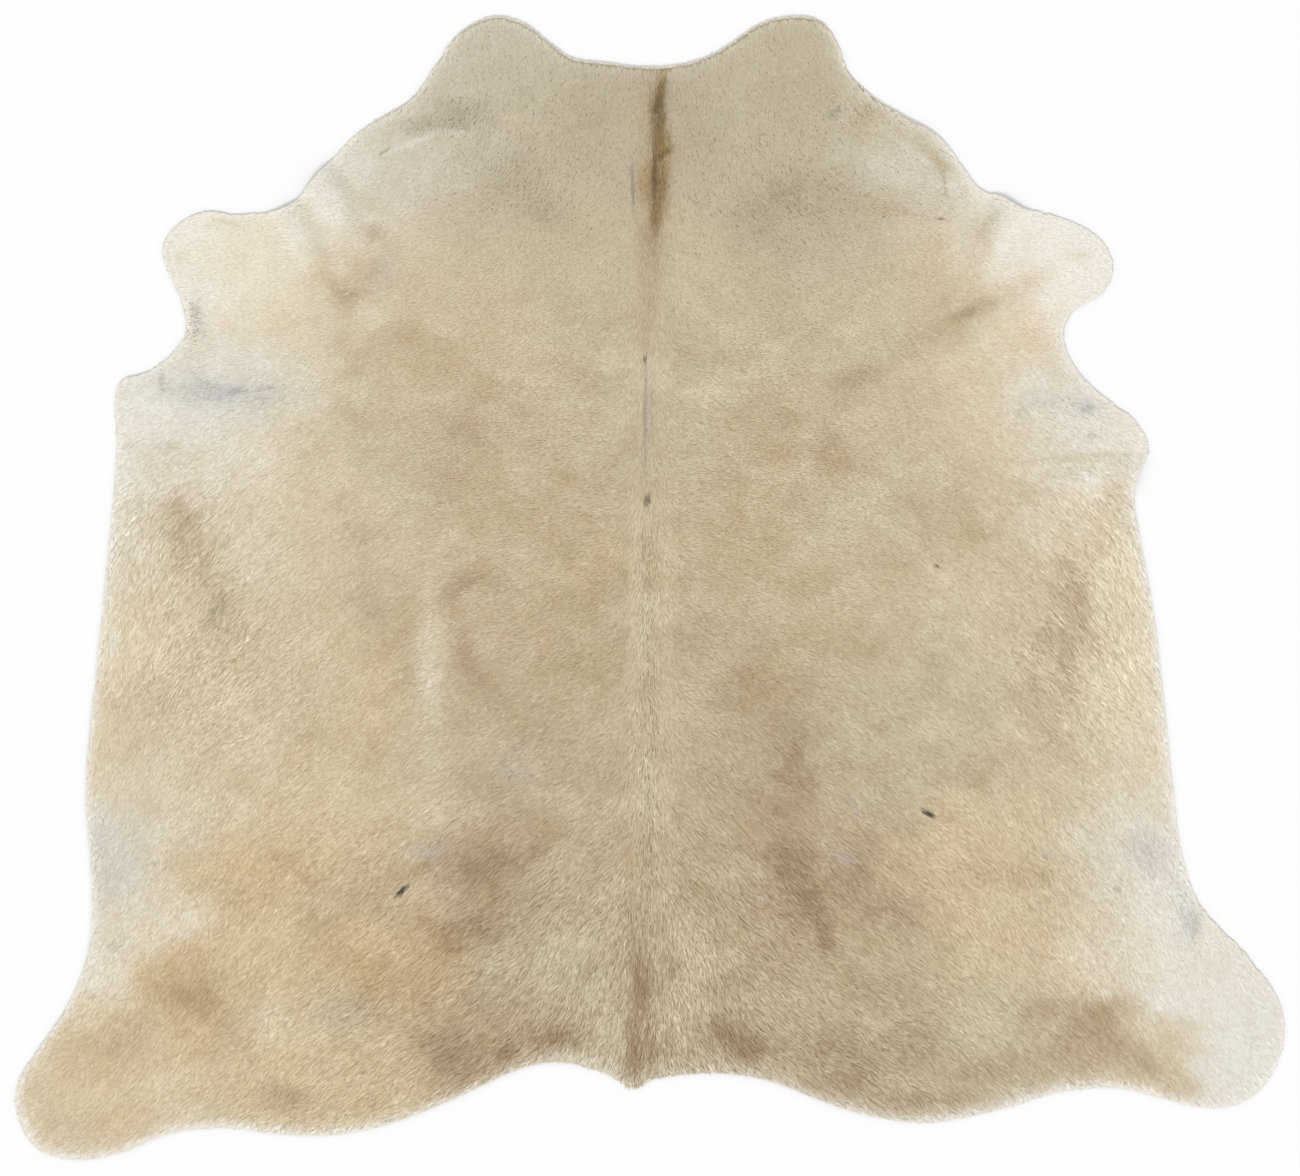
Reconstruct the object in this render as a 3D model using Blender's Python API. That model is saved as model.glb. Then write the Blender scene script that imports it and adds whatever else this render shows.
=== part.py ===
"""A cowhide rug: one whole tanned hide that lies flat on the floor with its coat upwards.

Metres, +Z up. +Y runs along the spine towards the neck and +X across the hide. The origin is
on the floor in the middle of the hide's box. The hide is one solid: its leather and the coat
lying on it, thickest along the back, with a rim that slopes away from the cut edge and with
the low folds where the shoulders and the flank don't lie quite flat.
"""

from dataclasses import dataclass
from math import hypot, radians

import bmesh
import bpy
import numpy as np
from mathutils import Vector
from mathutils.geometry import delaunay_2d_cdt

# Driving dimensions
HIDE_WIDTH = 2.200
BACK_THICKNESS = 0.0062
BELLY_THICKNESS = 0.0042
BACK_HALF_WIDTH = 0.450
LEATHER_SHARE = 0.45
RIM_SLOPE = 0.004

# Spacing of the mesh's points
EDGE_POINTS = 420
FIELD_STEP = 0.062
EDGE_CLEARANCE = 0.60
FOLD_CLEARANCE = 0.45
FOLD_STEP = 0.024
FOLD_LANES = (-1.0, -0.66, -0.33, 0.0, 0.33, 0.66, 1.0)
RIM_MARGIN = 0.010

# Curve work
STEPS_PER_BEND = 24
STEPS_PER_FOLD = 40
WELD = 1.0e-6

# Finish
COAT_COLOUR = "#c9b996"
COAT_ROUGHNESS = 0.8
SMOOTH_BELOW = radians(40.0)

# The edge of the hide, walked anticlockwise as seen from above: from the neck down the left
# side, past the tail and back up the right.
# Each row is a section of the edge: its name, then the bends it passes, each as the pixels
# across and down at which the bend is seen from straight above.
EDGE = (
    ("neck hollow, left half", (649, 67), (601, 62), (572, 58)),
    ("left neck lobe", (548, 41), (524, 23), (494, 16), (460, 32), (436, 65)),
    ("left shoulder", (412, 98), (367, 126), (330, 163), (312, 183)),
    ("left foreleg", (289, 207), (240, 215), (206, 212), (172, 231), (164, 252)),
    ("left fore pit", (184, 304), (187, 333), (168, 359), (148, 372)),
    ("left elbow", (123, 379), (117, 397), (118, 445)),
    ("left flank", (104, 600), (92, 715), (86, 790), (93, 895)),
    ("left hind leg", (88, 956), (68, 1006), (36, 1054), (19, 1082), (18, 1113)),
    ("left hind shank", (38, 1148), (78, 1159), (120, 1152), (172, 1132)),
    ("left thigh", (228, 1127), (275, 1133), (335, 1134), (400, 1120), (461, 1095)),
    ("left buttock", (520, 1068), (560, 1061), (606, 1072)),
    ("tail", (636, 1088), (650, 1079)),
    ("right buttock", (710, 1072), (765, 1079), (850, 1110)),
    ("right thigh", (920, 1122), (990, 1111), (1070, 1089), (1125, 1088)),
    ("right hind shank", (1200, 1106), (1235, 1104), (1263, 1085), (1283, 1040)),
    ("right hind leg", (1279, 1004), (1250, 960), (1197, 901), (1180, 850)),
    ("right flank", (1172, 784), (1163, 700), (1153, 612), (1137, 525), (1133, 492)),
    ("right elbow", (1139, 468), (1148, 447), (1131, 417), (1100, 395)),
    ("right fore pit", (1072, 364), (1062, 333), (1072, 310)),
    ("right foreleg", (1102, 291), (1112, 266), (1098, 238), (1053, 216), (1016, 207)),
    ("right shoulder", (1002, 197), (981, 191), (960, 164), (936, 134), (900, 114)),
    ("right neck lobe", (866, 90), (846, 68), (836, 40), (820, 20), (792, 16), (762, 23)),
    ("neck hollow, right half", (715, 53), (688, 63)),
)


@dataclass(frozen=True)
class Fold:
    """A low ridge in the hide, along a curve from start past bend to end, in the same pixels.

    rise and half_width are in metres. A fold that leaves_edge keeps its height at its start,
    where it runs out over the cut edge. One that is coat_only lifts the coat and leaves the
    leather on the floor.
    """

    name: str
    start: tuple
    bend: tuple
    end: tuple
    rise: float
    half_width: float
    leaves_edge: bool = False
    coat_only: bool = False


FOLDS = (
    Fold("left shoulder roll", (318, 178), (336, 212), (356, 254), 0.012, 0.048, leaves_edge=True),
    Fold("left shoulder ripple", (287, 208), (300, 228), (326, 272), 0.007, 0.036, leaves_edge=True),
    Fold("left neck pad", (372, 160), (408, 132), (482, 134), 0.003, 0.030),
    Fold("right neck pad", (842, 116), (912, 128), (950, 194), 0.004, 0.032),
    Fold("right shoulder roll", (1010, 206), (986, 236), (958, 268), 0.009, 0.044, leaves_edge=True),
    Fold("right foreleg crease", (1076, 268), (990, 318), (890, 368), 0.006, 0.050),
    Fold("right flank ripple", (1140, 474), (1084, 480), (1012, 498), 0.009, 0.044, leaves_edge=True),
    Fold("right elbow ripple", (1118, 436), (1070, 448), (1000, 452), 0.004, 0.034),
    Fold("left elbow ripple", (150, 384), (200, 404), (290, 402), 0.004, 0.036),
    Fold("mane along the spine", (646, 480), (648, 700), (645, 905), 0.0016, 0.034, coat_only=True),
    Fold("neck tuft", (661, 84), (658, 140), (653, 215), 0.0018, 0.026, coat_only=True),
)


def curve_through(bends):
    """A closed centripetal Catmull-Rom curve through the bends, as an array of points.

    Each stretch between two bends is worked out from them and the bend on either side, with
    the curve's parameter growing as the square root of the distance from bend to bend, so
    that the curve has no loops where bends lie close together.
    """
    bends = np.array(bends, dtype=float)
    share = np.arange(STEPS_PER_BEND)[:, None] / STEPS_PER_BEND
    stretches = []
    for i in range(len(bends)):
        a, b, c, d = (bends[(i + k) % len(bends)] for k in (-1, 0, 1, 2))
        knots = np.cumsum([0.0] + [hypot(*(q - p)) ** 0.5 for p, q in ((a, b), (b, c), (c, d))])
        t = knots[1] + share * (knots[2] - knots[1])

        def between(first, last, p, q):
            return (last - t) / (last - first) * p + (t - first) / (last - first) * q

        ab = between(knots[0], knots[1], a, b)
        bc = between(knots[1], knots[2], b, c)
        cd = between(knots[2], knots[3], c, d)
        abc = between(knots[0], knots[2], ab, bc)
        bcd = between(knots[1], knots[3], bc, cd)
        stretches.append(between(knots[1], knots[2], abc, bcd))
    return np.concatenate(stretches)


def spaced_evenly(loop, count):
    """So many points, evenly spaced along a closed loop of points."""
    closed = np.vstack([loop, loop[:1]])
    reach = np.concatenate([[0.0], np.cumsum(np.linalg.norm(np.diff(closed, axis=0), axis=1))])
    stops = np.arange(count) * reach[-1] / count
    return np.column_stack([np.interp(stops, reach, closed[:, k]) for k in (0, 1)])


def drawn_in(loop, distance):
    """The anticlockwise loop moved inwards by a distance, along its own normals."""
    along = np.roll(loop, -1, axis=0) - np.roll(loop, 1, axis=0)
    along /= np.linalg.norm(along, axis=1)[:, None]
    return loop + distance * np.column_stack([-along[:, 1], along[:, 0]])


class Plan:
    """Turns pixels seen from straight above into metres about the middle of the hide."""

    def __init__(self):
        bends = [bend for section in EDGE for bend in section[1:]]
        edge = spaced_evenly(curve_through(bends), EDGE_POINTS)
        self.low, self.high = edge.min(axis=0), edge.max(axis=0)
        self.scale = HIDE_WIDTH / (self.high[0] - self.low[0])
        self.edge = self.place(edge)

    def place(self, pixels):
        """Metres across and along the hide for pixels across and down."""
        pixels = np.atleast_2d(np.array(pixels, dtype=float))
        middle = (self.low + self.high) / 2.0
        return (pixels - middle) * self.scale * (1.0, -1.0)


def fold_line(plan, fold):
    """The crest of a fold, as points on a quadratic curve through its bend."""
    start, bend, end = plan.place([fold.start, fold.bend, fold.end])
    pull = 2.0 * bend - (start + end) / 2.0
    t = np.linspace(0.0, 1.0, STEPS_PER_FOLD)[:, None]
    return (1 - t) ** 2 * start + 2 * t * (1 - t) * pull + t**2 * end


def fold_height(plan, fold, points):
    """How far a fold lifts each point: a smooth hump across it that dies away at its ends."""
    line = fold_line(plan, fold)
    gaps = np.linalg.norm(points[:, None, :] - line[None, :, :], axis=2)
    nearest = gaps.argmin(axis=1)
    across = np.clip(gaps.min(axis=1) / fold.half_width, 0.0, 1.0)
    along = nearest / (STEPS_PER_FOLD - 1)
    fade = np.sin(np.pi * (0.5 + 0.5 * along if fold.leaves_edge else along))
    return fold.rise * fade * (1.0 - across**2) ** 2


def lifts(plan, points, coat_only):
    """The height that the folds of one sort add at each point."""
    return sum(fold_height(plan, fold, points) for fold in FOLDS if fold.coat_only == coat_only)


def thickness(points):
    """Leather and coat together: thick along the spine, thinner towards belly and legs."""
    away = points[:, 0] / BACK_HALF_WIDTH
    return BELLY_THICKNESS + (BACK_THICKNESS - BELLY_THICKNESS) * np.exp(-(away**2))


def far_from(points, others, distance):
    """The points that lie at least a distance away from all the others."""
    gaps = np.linalg.norm(points[:, None, :] - others[None, :, :], axis=2)
    return points[gaps.min(axis=1) >= distance]


def field_points(plan, rim):
    """Points over the hide inside its rim: lanes along each fold, and a lattice elsewhere."""
    lanes = []
    for fold in FOLDS:
        line = fold_line(plan, fold)
        length = np.linalg.norm(np.diff(line, axis=0), axis=1).sum()
        stops = np.linspace(0, STEPS_PER_FOLD - 1, max(2, round(length / FOLD_STEP))).round().astype(int)
        heading = np.gradient(line, axis=0)[stops]
        heading /= np.linalg.norm(heading, axis=1)[:, None]
        side = np.column_stack([-heading[:, 1], heading[:, 0]])
        lanes += [line[stops] + lane * fold.half_width * side for lane in FOLD_LANES]
    lanes = far_from(np.concatenate(lanes), rim, RIM_MARGIN)
    kept = lanes[:1]
    for point in lanes[1:]:
        if np.linalg.norm(kept - point, axis=1).min() >= FOLD_CLEARANCE * FOLD_STEP:
            kept = np.vstack([kept, point])

    low, high = plan.edge.min(axis=0), plan.edge.max(axis=0)
    row_step = FIELD_STEP * 0.75**0.5
    rows = int((high[1] - low[1]) / row_step) + 1
    columns = int((high[0] - low[0]) / FIELD_STEP) + 2
    row, column = np.divmod(np.arange(rows * columns), columns)
    lattice = np.column_stack(
        [low[0] + (column - (row % 2) / 2.0) * FIELD_STEP, low[1] + (row + 0.5) * row_step]
    )
    lattice = far_from(lattice, rim, EDGE_CLEARANCE * FIELD_STEP)
    lattice = far_from(lattice, kept, FOLD_CLEARANCE * FIELD_STEP)
    return np.vstack([kept, lattice])


def triangles_within(rim, field):
    """Delaunay triangles over the rim and the field points, none of them outside the rim."""
    points = [Vector(p) for p in np.vstack([rim, field])]
    around = list(range(len(rim)))
    found = delaunay_2d_cdt(points, [], [around], 1, WELD)
    corners = np.array([v[:] for v in found[0]])
    faces = np.array(found[2])
    used = np.unique(np.concatenate([np.arange(len(rim)), faces.ravel()]))
    number = np.full(len(corners), -1)
    number[used] = np.arange(len(used))
    a, b, c = (corners[faces[:, k]] for k in range(3))
    turn = (b - a)[:, 0] * (c - a)[:, 1] - (b - a)[:, 1] * (c - a)[:, 0]
    faces = np.where(turn[:, None] > 0, faces, faces[:, ::-1])
    return corners[used], number[faces]


def hide_mesh(plan):
    """The hide as one closed mesh: coat on top, leather below, and a rim that joins them."""
    edge = plan.edge
    rim = drawn_in(edge, RIM_SLOPE)
    plan_points, faces = triangles_within(rim, field_points(plan, rim))
    count, around = len(plan_points), len(edge)

    under = plan_points.copy()
    under[:around] = edge
    lift = lifts(plan, under, coat_only=False)
    bottom = np.column_stack([under, lift])
    middle = np.column_stack([edge, lift[:around] + LEATHER_SHARE * thickness(edge)])
    coat = lift + thickness(under) + lifts(plan, under, coat_only=True)
    top = np.column_stack([plan_points, coat])

    mesh = bpy.data.meshes.new("cowhide")
    bm = bmesh.new()
    rows = [[bm.verts.new(p) for p in layer] for layer in (bottom, middle, top)]
    for a, b, c in faces.tolist():
        bm.faces.new((rows[0][c], rows[0][b], rows[0][a]))
        bm.faces.new((rows[2][a], rows[2][b], rows[2][c]))
    for lower, upper in ((rows[0], rows[1]), (rows[1], rows[2])):
        for i in range(around):
            j = (i + 1) % around
            bm.faces.new((lower[i], lower[j], upper[j], upper[i]))
    bmesh.ops.triangulate(bm, faces=bm.faces)
    bmesh.ops.recalc_face_normals(bm, faces=bm.faces)
    bm.to_mesh(mesh)
    bm.free()
    mesh.shade_smooth()
    mesh.set_sharp_from_angle(angle=SMOOTH_BELOW)
    print("cowhide:", count, "points in plan,", len(mesh.polygons), "triangles")
    return mesh


def linear(colour):
    """The linear RGBA of an sRGB hex colour."""
    channels = [int(colour[i : i + 2], 16) / 255.0 for i in (1, 3, 5)]
    return [c / 12.92 if c <= 0.04045 else ((c + 0.055) / 1.055) ** 2.4 for c in channels] + [1.0]


def coat_material():
    """Short hair over leather: a dull warm tan."""
    material = bpy.data.materials.new("coat")
    material.use_nodes = True
    shader = material.node_tree.nodes["Principled BSDF"]
    shader.inputs["Base Color"].default_value = linear(COAT_COLOUR)
    shader.inputs["Roughness"].default_value = COAT_ROUGHNESS
    shader.inputs["Metallic"].default_value = 0.0
    return material


def main():
    """Clear the scene and make the hide."""
    for old in list(bpy.data.objects):
        bpy.data.objects.remove(old)
    mesh = hide_mesh(Plan())
    mesh.materials.append(coat_material())
    bpy.context.scene.collection.objects.link(bpy.data.objects.new("cowhide", mesh))


main()
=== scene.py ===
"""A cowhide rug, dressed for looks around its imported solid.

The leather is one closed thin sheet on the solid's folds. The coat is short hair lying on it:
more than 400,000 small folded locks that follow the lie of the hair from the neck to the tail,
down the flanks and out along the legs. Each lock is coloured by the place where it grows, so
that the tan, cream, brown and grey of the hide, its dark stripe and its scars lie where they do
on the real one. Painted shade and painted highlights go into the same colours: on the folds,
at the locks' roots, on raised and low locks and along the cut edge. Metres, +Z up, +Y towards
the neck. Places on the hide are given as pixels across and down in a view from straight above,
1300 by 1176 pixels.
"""

import logging
from dataclasses import dataclass
from enum import Enum, IntEnum
from math import cos, radians, sin, tau

import bpy
import numpy as np
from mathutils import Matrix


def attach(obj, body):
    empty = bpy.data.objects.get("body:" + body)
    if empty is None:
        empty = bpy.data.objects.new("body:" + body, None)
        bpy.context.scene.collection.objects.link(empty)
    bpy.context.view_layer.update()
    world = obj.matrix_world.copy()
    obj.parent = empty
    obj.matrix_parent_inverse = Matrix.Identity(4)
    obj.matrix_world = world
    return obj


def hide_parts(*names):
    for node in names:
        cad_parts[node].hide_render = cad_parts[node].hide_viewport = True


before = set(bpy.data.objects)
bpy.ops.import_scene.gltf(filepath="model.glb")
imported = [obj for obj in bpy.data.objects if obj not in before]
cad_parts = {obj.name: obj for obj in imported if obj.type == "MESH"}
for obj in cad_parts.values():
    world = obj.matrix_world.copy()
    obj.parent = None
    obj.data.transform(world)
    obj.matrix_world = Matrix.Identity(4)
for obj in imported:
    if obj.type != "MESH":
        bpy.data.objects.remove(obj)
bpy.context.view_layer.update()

log = logging.getLogger("cowhide")

# The view from above, and the hide's box and the middle of its back in it, in pixels
VIEW_SIZE = (1300, 1176)
HIDE_BOX_LOW = np.array([16.4, 15.8])
HIDE_BOX_HIGH = np.array([1283.6, 1159.1])
HIDE_BOX_MIDDLE = (HIDE_BOX_LOW + HIDE_BOX_HIGH) / 2.0
SPINE_X = 648.0
HEART = (650.0, 520.0)

# Noise: how many numbers its table has each way, how strong each scale is next to the wider
# one, how many cells scales are shifted by, and what brings their sum back to about 1
NOISE_TABLE = 1024
OCTAVE_STRENGTH = 0.6
OCTAVE_SHIFT = 17.0
FRACTAL_SPREAD = 1.4

# What keeps a sum of weights and a distance from being 0
LEAST_WEIGHT = 1.0e-12
LEAST_GAP = 1.0e-6

# Nearly all of what a noise texture gives lies between these two
TEXTURE_LOW = 0.3
TEXTURE_HIGH = 0.7

# Leather and coat, as in the solid
BACK_THICKNESS = 0.0062
BELLY_THICKNESS = 0.0042
BACK_HALF_WIDTH = 0.450
LEATHER_SHARE = 0.45

# How much red, green and blue change between light and dark hairs: dark ones are browner
HAIR_CHANGE = (0.82, 1.0, 1.25)

# Pale hairs pass light on to one another, so a tint is set by its brightness (see add_tint)
TINT_GAIN = 0.78
TINT_POWER = -0.1
TINT_DARKEST = 0.02


class Seed(IntEnum):
    """Where each random draw starts. Noise of four octaves uses the next three as well."""

    WANDER_ACROSS = 42
    WANDER_DOWN = 45
    UNEVEN = 48
    MOTTLE = 49
    FLECKS = 50
    BRINDLE = 54
    RUFFLE = 61
    ROOTS = 91
    CLUMPS = 92
    LOCKS = 93
    FRINGE = 94
    STREAKS = 95


def noise(points: np.ndarray, cell: float, seed: int) -> np.ndarray:
    """Smooth random values: random numbers on a square lattice, eased between its corners.

    Args:
        points: Places, one row each, across and along.
        cell: The lattice's spacing, in the unit of the points.
        seed: Which random numbers to draw.

    Returns:
        One value from -1 to 1 for each point.
    """
    table = np.random.default_rng(seed).uniform(-1.0, 1.0, (NOISE_TABLE, NOISE_TABLE))
    scaled = points / cell
    base = np.floor(scaled).astype(int)
    part = scaled - base
    ease = part * part * (3.0 - 2.0 * part)
    i, j = (base % NOISE_TABLE).T
    k, m = ((base + 1) % NOISE_TABLE).T
    near = table[i, j] + (table[k, j] - table[i, j]) * ease[:, 0]
    far = table[i, m] + (table[k, m] - table[i, m]) * ease[:, 0]
    return near + (far - near) * ease[:, 1]


def fractal(points: np.ndarray, cell: float, seed: int, octaves: int = 4) -> np.ndarray:
    """Noise at several scales, each half as wide and 0.6 times as strong as the one before.

    Args:
        points: Places, one row each.
        cell: The widest scale.
        seed: Which random numbers to draw.
        octaves: How many scales.

    Returns:
        One value for each point, mostly from -1 to 1.
    """
    total = np.zeros(len(points))
    for k in range(octaves):
        moved = points + OCTAVE_SHIFT * k * cell
        total += OCTAVE_STRENGTH**k * noise(moved, cell * 0.5**k, seed + k)
    return total / FRACTAL_SPREAD


def read_grid(grid: np.ndarray, scaled: np.ndarray) -> np.ndarray:
    """Blends the four grid points round each place by how near they are.

    Args:
        grid: Values by row and column.
        scaled: Places in steps of the grid from its first point, across and along.

    Returns:
        One value for each place.
    """
    rows, columns = grid.shape
    base = np.clip(np.floor(scaled).astype(int), 0, (columns - 2, rows - 2))
    part = np.clip(scaled - base, 0.0, 1.0)
    i, j = base.T
    below = grid[j, i] + (grid[j, i + 1] - grid[j, i]) * part[:, 0]
    above = grid[j + 1, i] + (grid[j + 1, i + 1] - grid[j + 1, i]) * part[:, 0]
    return below + (above - below) * part[:, 1]


def between(sleek: float, coarse: float, share: np.ndarray) -> np.ndarray:
    """A size that goes from its sleek value at a share of 0 to its coarse value at 1."""
    return sleek + (coarse - sleek) * share


def turned(directions: np.ndarray, angle: np.ndarray) -> np.ndarray:
    """The directions turned anticlockwise by an angle each."""
    c, s = np.cos(angle), np.sin(angle)
    x, y = directions.T
    return np.column_stack([c * x - s * y, s * x + c * y])


def srgb(colour: str) -> np.ndarray:
    """The three channels of an sRGB hex colour, from 0 to 1."""
    return np.array([int(colour[i : i + 2], 16) / 255.0 for i in (1, 3, 5)])


def linear(channels: np.ndarray) -> np.ndarray:
    """Linear light for sRGB channels from 0 to 1."""
    return np.where(channels <= 0.04045, channels / 12.92, ((channels + 0.055) / 1.055) ** 2.4)


def linear_rgba(colour: str) -> tuple[float, float, float, float]:
    """The linear red, green and blue of an sRGB hex colour, and 1 for its alpha."""
    return (*linear(srgb(colour)).tolist(), 1.0)


class Tone(Enum):
    """The colours of the coat and of the skin that shows through it, and of the painted shade and
    highlights on its folds, as sRGB hex.
    """

    NECK_GREY = "#bdb299"
    ASH = "#b6aa93"
    ASH_DARK = "#a2967f"
    LOBE_GREY = "#c5bda9"
    PALE_GREY = "#d2cab8"
    DUN = "#c6b89b"
    HAZEL = "#c4b392"
    DRAB = "#bba98a"
    TAN = "#cfbf9f"
    WARM_TAN = "#d4c3a3"
    CREAM = "#dacfb8"
    SAND = "#e2d8c3"
    IVORY = "#eae2d2"
    BUTTER = "#e6dcc4"
    WHEAT = "#e5d7bb"
    GOLDEN_TAN = "#d2bf9b"
    CHALK = "#e5e0d5"
    WHITE = "#f0ebe0"
    MIST = "#d8d4ca"
    BLUE_GREY = "#c0c1c2"
    PEACH = "#d8c2a2"
    PINK = "#cdb8a1"
    LILAC = "#b2a492"
    LAVENDER = "#bfb5b2"
    GOLD = "#c9b088"
    OLIVE = "#ae9f7c"
    FAWN = "#b9a484"
    BROWN = "#a18a6c"
    UMBER = "#8c7253"
    AMBER = "#b08a52"
    STRIPE = "#7e6842"
    STRIPE_CORE = "#5c4c2e"
    SPECK = "#8a8472"
    SCAR = "#43372a"


@dataclass(frozen=True)
class Ground:
    """The broad colour of the coat round one place: a tone, its middle and its reach in pixels."""

    tone: Tone
    at: tuple[float, float]
    reach: float


@dataclass(frozen=True)
class Patch:
    """A stain, a mark or a lighter spot on the broad colour. Some patches are painted shade and
    painted highlights along the folds.

    It is an oval of two reaches in pixels, turned anticlockwise by so many degrees. Its edge is
    soft at a firmness of 1 and crisp at 3. Strength is how far it covers what lies below.
    """

    tone: Tone
    at: tuple[float, float]
    reach: tuple[float, float]
    strength: float
    turn: float = 0.0
    firmness: float = 1.0


@dataclass(frozen=True)
class Lie:
    """How the coat lies round one place: its angle outwards from straight tailwards, in degrees,
    and how long its hair is, in metres. Places are on the left half, and the right half mirrors
    them across the spine.
    """

    at: tuple[float, float]
    outward: float
    length: float
    reach: float = 60.0


@dataclass(frozen=True)
class Flecking:
    """A place where dark skin shows between short hairs, and the share of its locks that are dark.

    The share falls off as a bell curve of the distance in reaches, given in pixels.
    """

    at: tuple[float, float]
    reach: tuple[float, float]
    share: float


@dataclass(frozen=True)
class Fold:
    """A low ridge in the hide along a curve from start past bend to end, in pixels.

    Rise and half_width are in metres. One that leaves_edge keeps its height at its start. One
    that is coat_only lifts the coat and leaves the leather on the floor.
    """

    start: tuple[float, float]
    bend: tuple[float, float]
    end: tuple[float, float]
    rise: float
    half_width: float
    leaves_edge: bool = False
    coat_only: bool = False


def bell(at: np.ndarray, row: Ground | Lie) -> np.ndarray:
    """How much a row of a table counts at each place: exp(-d * d / 2), with d in its reaches."""
    gap = ((at - row.at) ** 2).sum(axis=1) / row.reach**2
    return np.exp(-0.5 * gap)


# The fields of each row, in order: tone, middle and reach
GROUNDS = [Ground(*row) for row in (
    # Neck
    (Tone.LOBE_GREY, (470, 60), 45),
    (Tone.LOBE_GREY, (515, 35), 26),
    (Tone.NECK_GREY, (790, 60), 45),
    (Tone.NECK_GREY, (560, 130), 55),
    (Tone.ASH, (645, 120), 50),
    (Tone.NECK_GREY, (735, 140), 50),
    (Tone.PALE_GREY, (392, 140), 28),
    (Tone.LOBE_GREY, (432, 176), 28),
    (Tone.PALE_GREY, (900, 160), 38),
    (Tone.NECK_GREY, (505, 215), 52),
    (Tone.NECK_GREY, (815, 235), 55),
    (Tone.DUN, (600, 280), 65),
    (Tone.DUN, (720, 320), 60),
    (Tone.TAN, (480, 320), 52),
    (Tone.CREAM, (390, 228), 30),
    # Left shoulder, foreleg and elbow
    (Tone.CREAM, (325, 325), 34),
    (Tone.HAZEL, (425, 390), 40),
    (Tone.SAND, (305, 258), 30),
    (Tone.CHALK, (340, 200), 28),
    (Tone.BUTTER, (240, 265), 42),
    (Tone.WHITE, (192, 240), 38),
    (Tone.BUTTER, (248, 320), 34),
    (Tone.MIST, (230, 385), 34),
    (Tone.CHALK, (146, 422), 34),
    (Tone.SAND, (172, 455), 28),
    (Tone.CREAM, (318, 368), 24),
    (Tone.SAND, (292, 420), 34),
    (Tone.SAND, (235, 480), 36),
    # Left flank and ribs
    (Tone.WARM_TAN, (315, 505), 46),
    (Tone.CREAM, (245, 560), 38),
    (Tone.WARM_TAN, (180, 550), 30),
    (Tone.SAND, (122, 545), 28),
    (Tone.WHEAT, (112, 645), 28),
    (Tone.WARM_TAN, (112, 730), 28),
    (Tone.WARM_TAN, (200, 650), 42),
    (Tone.WARM_TAN, (300, 650), 50),
    (Tone.CREAM, (172, 815), 36),
    (Tone.MIST, (105, 850), 32),
    (Tone.SAND, (150, 915), 28),
    (Tone.WARM_TAN, (245, 765), 46),
    (Tone.DUN, (400, 450), 50),
    (Tone.TAN, (420, 590), 45),
    # Back
    (Tone.HAZEL, (510, 455), 50),
    (Tone.HAZEL, (570, 560), 55),
    (Tone.DUN, (645, 440), 52),
    (Tone.DRAB, (500, 710), 46),
    (Tone.HAZEL, (580, 700), 52),
    (Tone.DUN, (648, 620), 26),
    (Tone.DUN, (648, 800), 40),
    (Tone.HAZEL, (740, 560), 52),
    (Tone.DRAB, (735, 690), 46),
    (Tone.TAN, (395, 765), 45),
    (Tone.HAZEL, (820, 620), 52),
    (Tone.HAZEL, (800, 440), 45),
    (Tone.DUN, (890, 480), 50),
    (Tone.DUN, (860, 740), 38),
    # Rump and left hind leg
    (Tone.GOLDEN_TAN, (330, 800), 42),
    (Tone.GOLDEN_TAN, (255, 880), 38),
    (Tone.FAWN, (485, 870), 36),
    (Tone.TAN, (405, 905), 16),
    (Tone.HAZEL, (575, 860), 46),
    (Tone.DUN, (570, 960), 46),
    (Tone.GOLD, (405, 965), 32),
    (Tone.GOLDEN_TAN, (295, 1010), 36),
    (Tone.GOLD, (195, 995), 24),
    (Tone.GOLDEN_TAN, (125, 1045), 36),
    (Tone.IVORY, (88, 970), 24),
    (Tone.WARM_TAN, (60, 1105), 34),
    (Tone.WARM_TAN, (155, 1105), 32),
    (Tone.GOLDEN_TAN, (280, 1085), 34),
    (Tone.GOLDEN_TAN, (380, 1075), 34),
    (Tone.FAWN, (465, 1045), 30),
    # Right shoulder, foreleg and elbow
    (Tone.DUN, (880, 320), 44),
    (Tone.TAN, (930, 265), 30),
    (Tone.IVORY, (1004, 240), 28),
    (Tone.WHITE, (1075, 250), 36),
    (Tone.HAZEL, (965, 312), 20),
    (Tone.SAND, (1020, 325), 34),
    (Tone.WARM_TAN, (950, 405), 44),
    (Tone.CHALK, (1072, 402), 32),
    (Tone.SAND, (1022, 416), 22),
    (Tone.IVORY, (1112, 440), 28),
    # Right flank
    (Tone.SAND, (1080, 496), 28),
    (Tone.WHEAT, (1120, 570), 30),
    (Tone.WARM_TAN, (1045, 620), 36),
    (Tone.WHEAT, (1132, 690), 36),
    (Tone.SAND, (1142, 780), 34),
    (Tone.TAN, (965, 560), 46),
    (Tone.DUN, (940, 700), 48),
    (Tone.TAN, (1045, 760), 44),
    # Right hind leg and thigh
    (Tone.CHALK, (1160, 865), 40),
    (Tone.IVORY, (1180, 960), 36),
    (Tone.CHALK, (1235, 990), 42),
    (Tone.CHALK, (1250, 1065), 34),
    (Tone.TAN, (1160, 1072), 24),
    (Tone.FAWN, (1092, 1032), 20),
    (Tone.WARM_TAN, (1045, 930), 40),
    (Tone.SAND, (1112, 955), 28),
    (Tone.DUN, (990, 1060), 36),
    (Tone.DRAB, (890, 1050), 38),
    (Tone.HAZEL, (870, 960), 40),
    (Tone.GOLDEN_TAN, (985, 880), 44),
    (Tone.FAWN, (800, 870), 38),
    (Tone.HAZEL, (700, 920), 46),
    (Tone.DRAB, (725, 1015), 34),
)]

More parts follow.
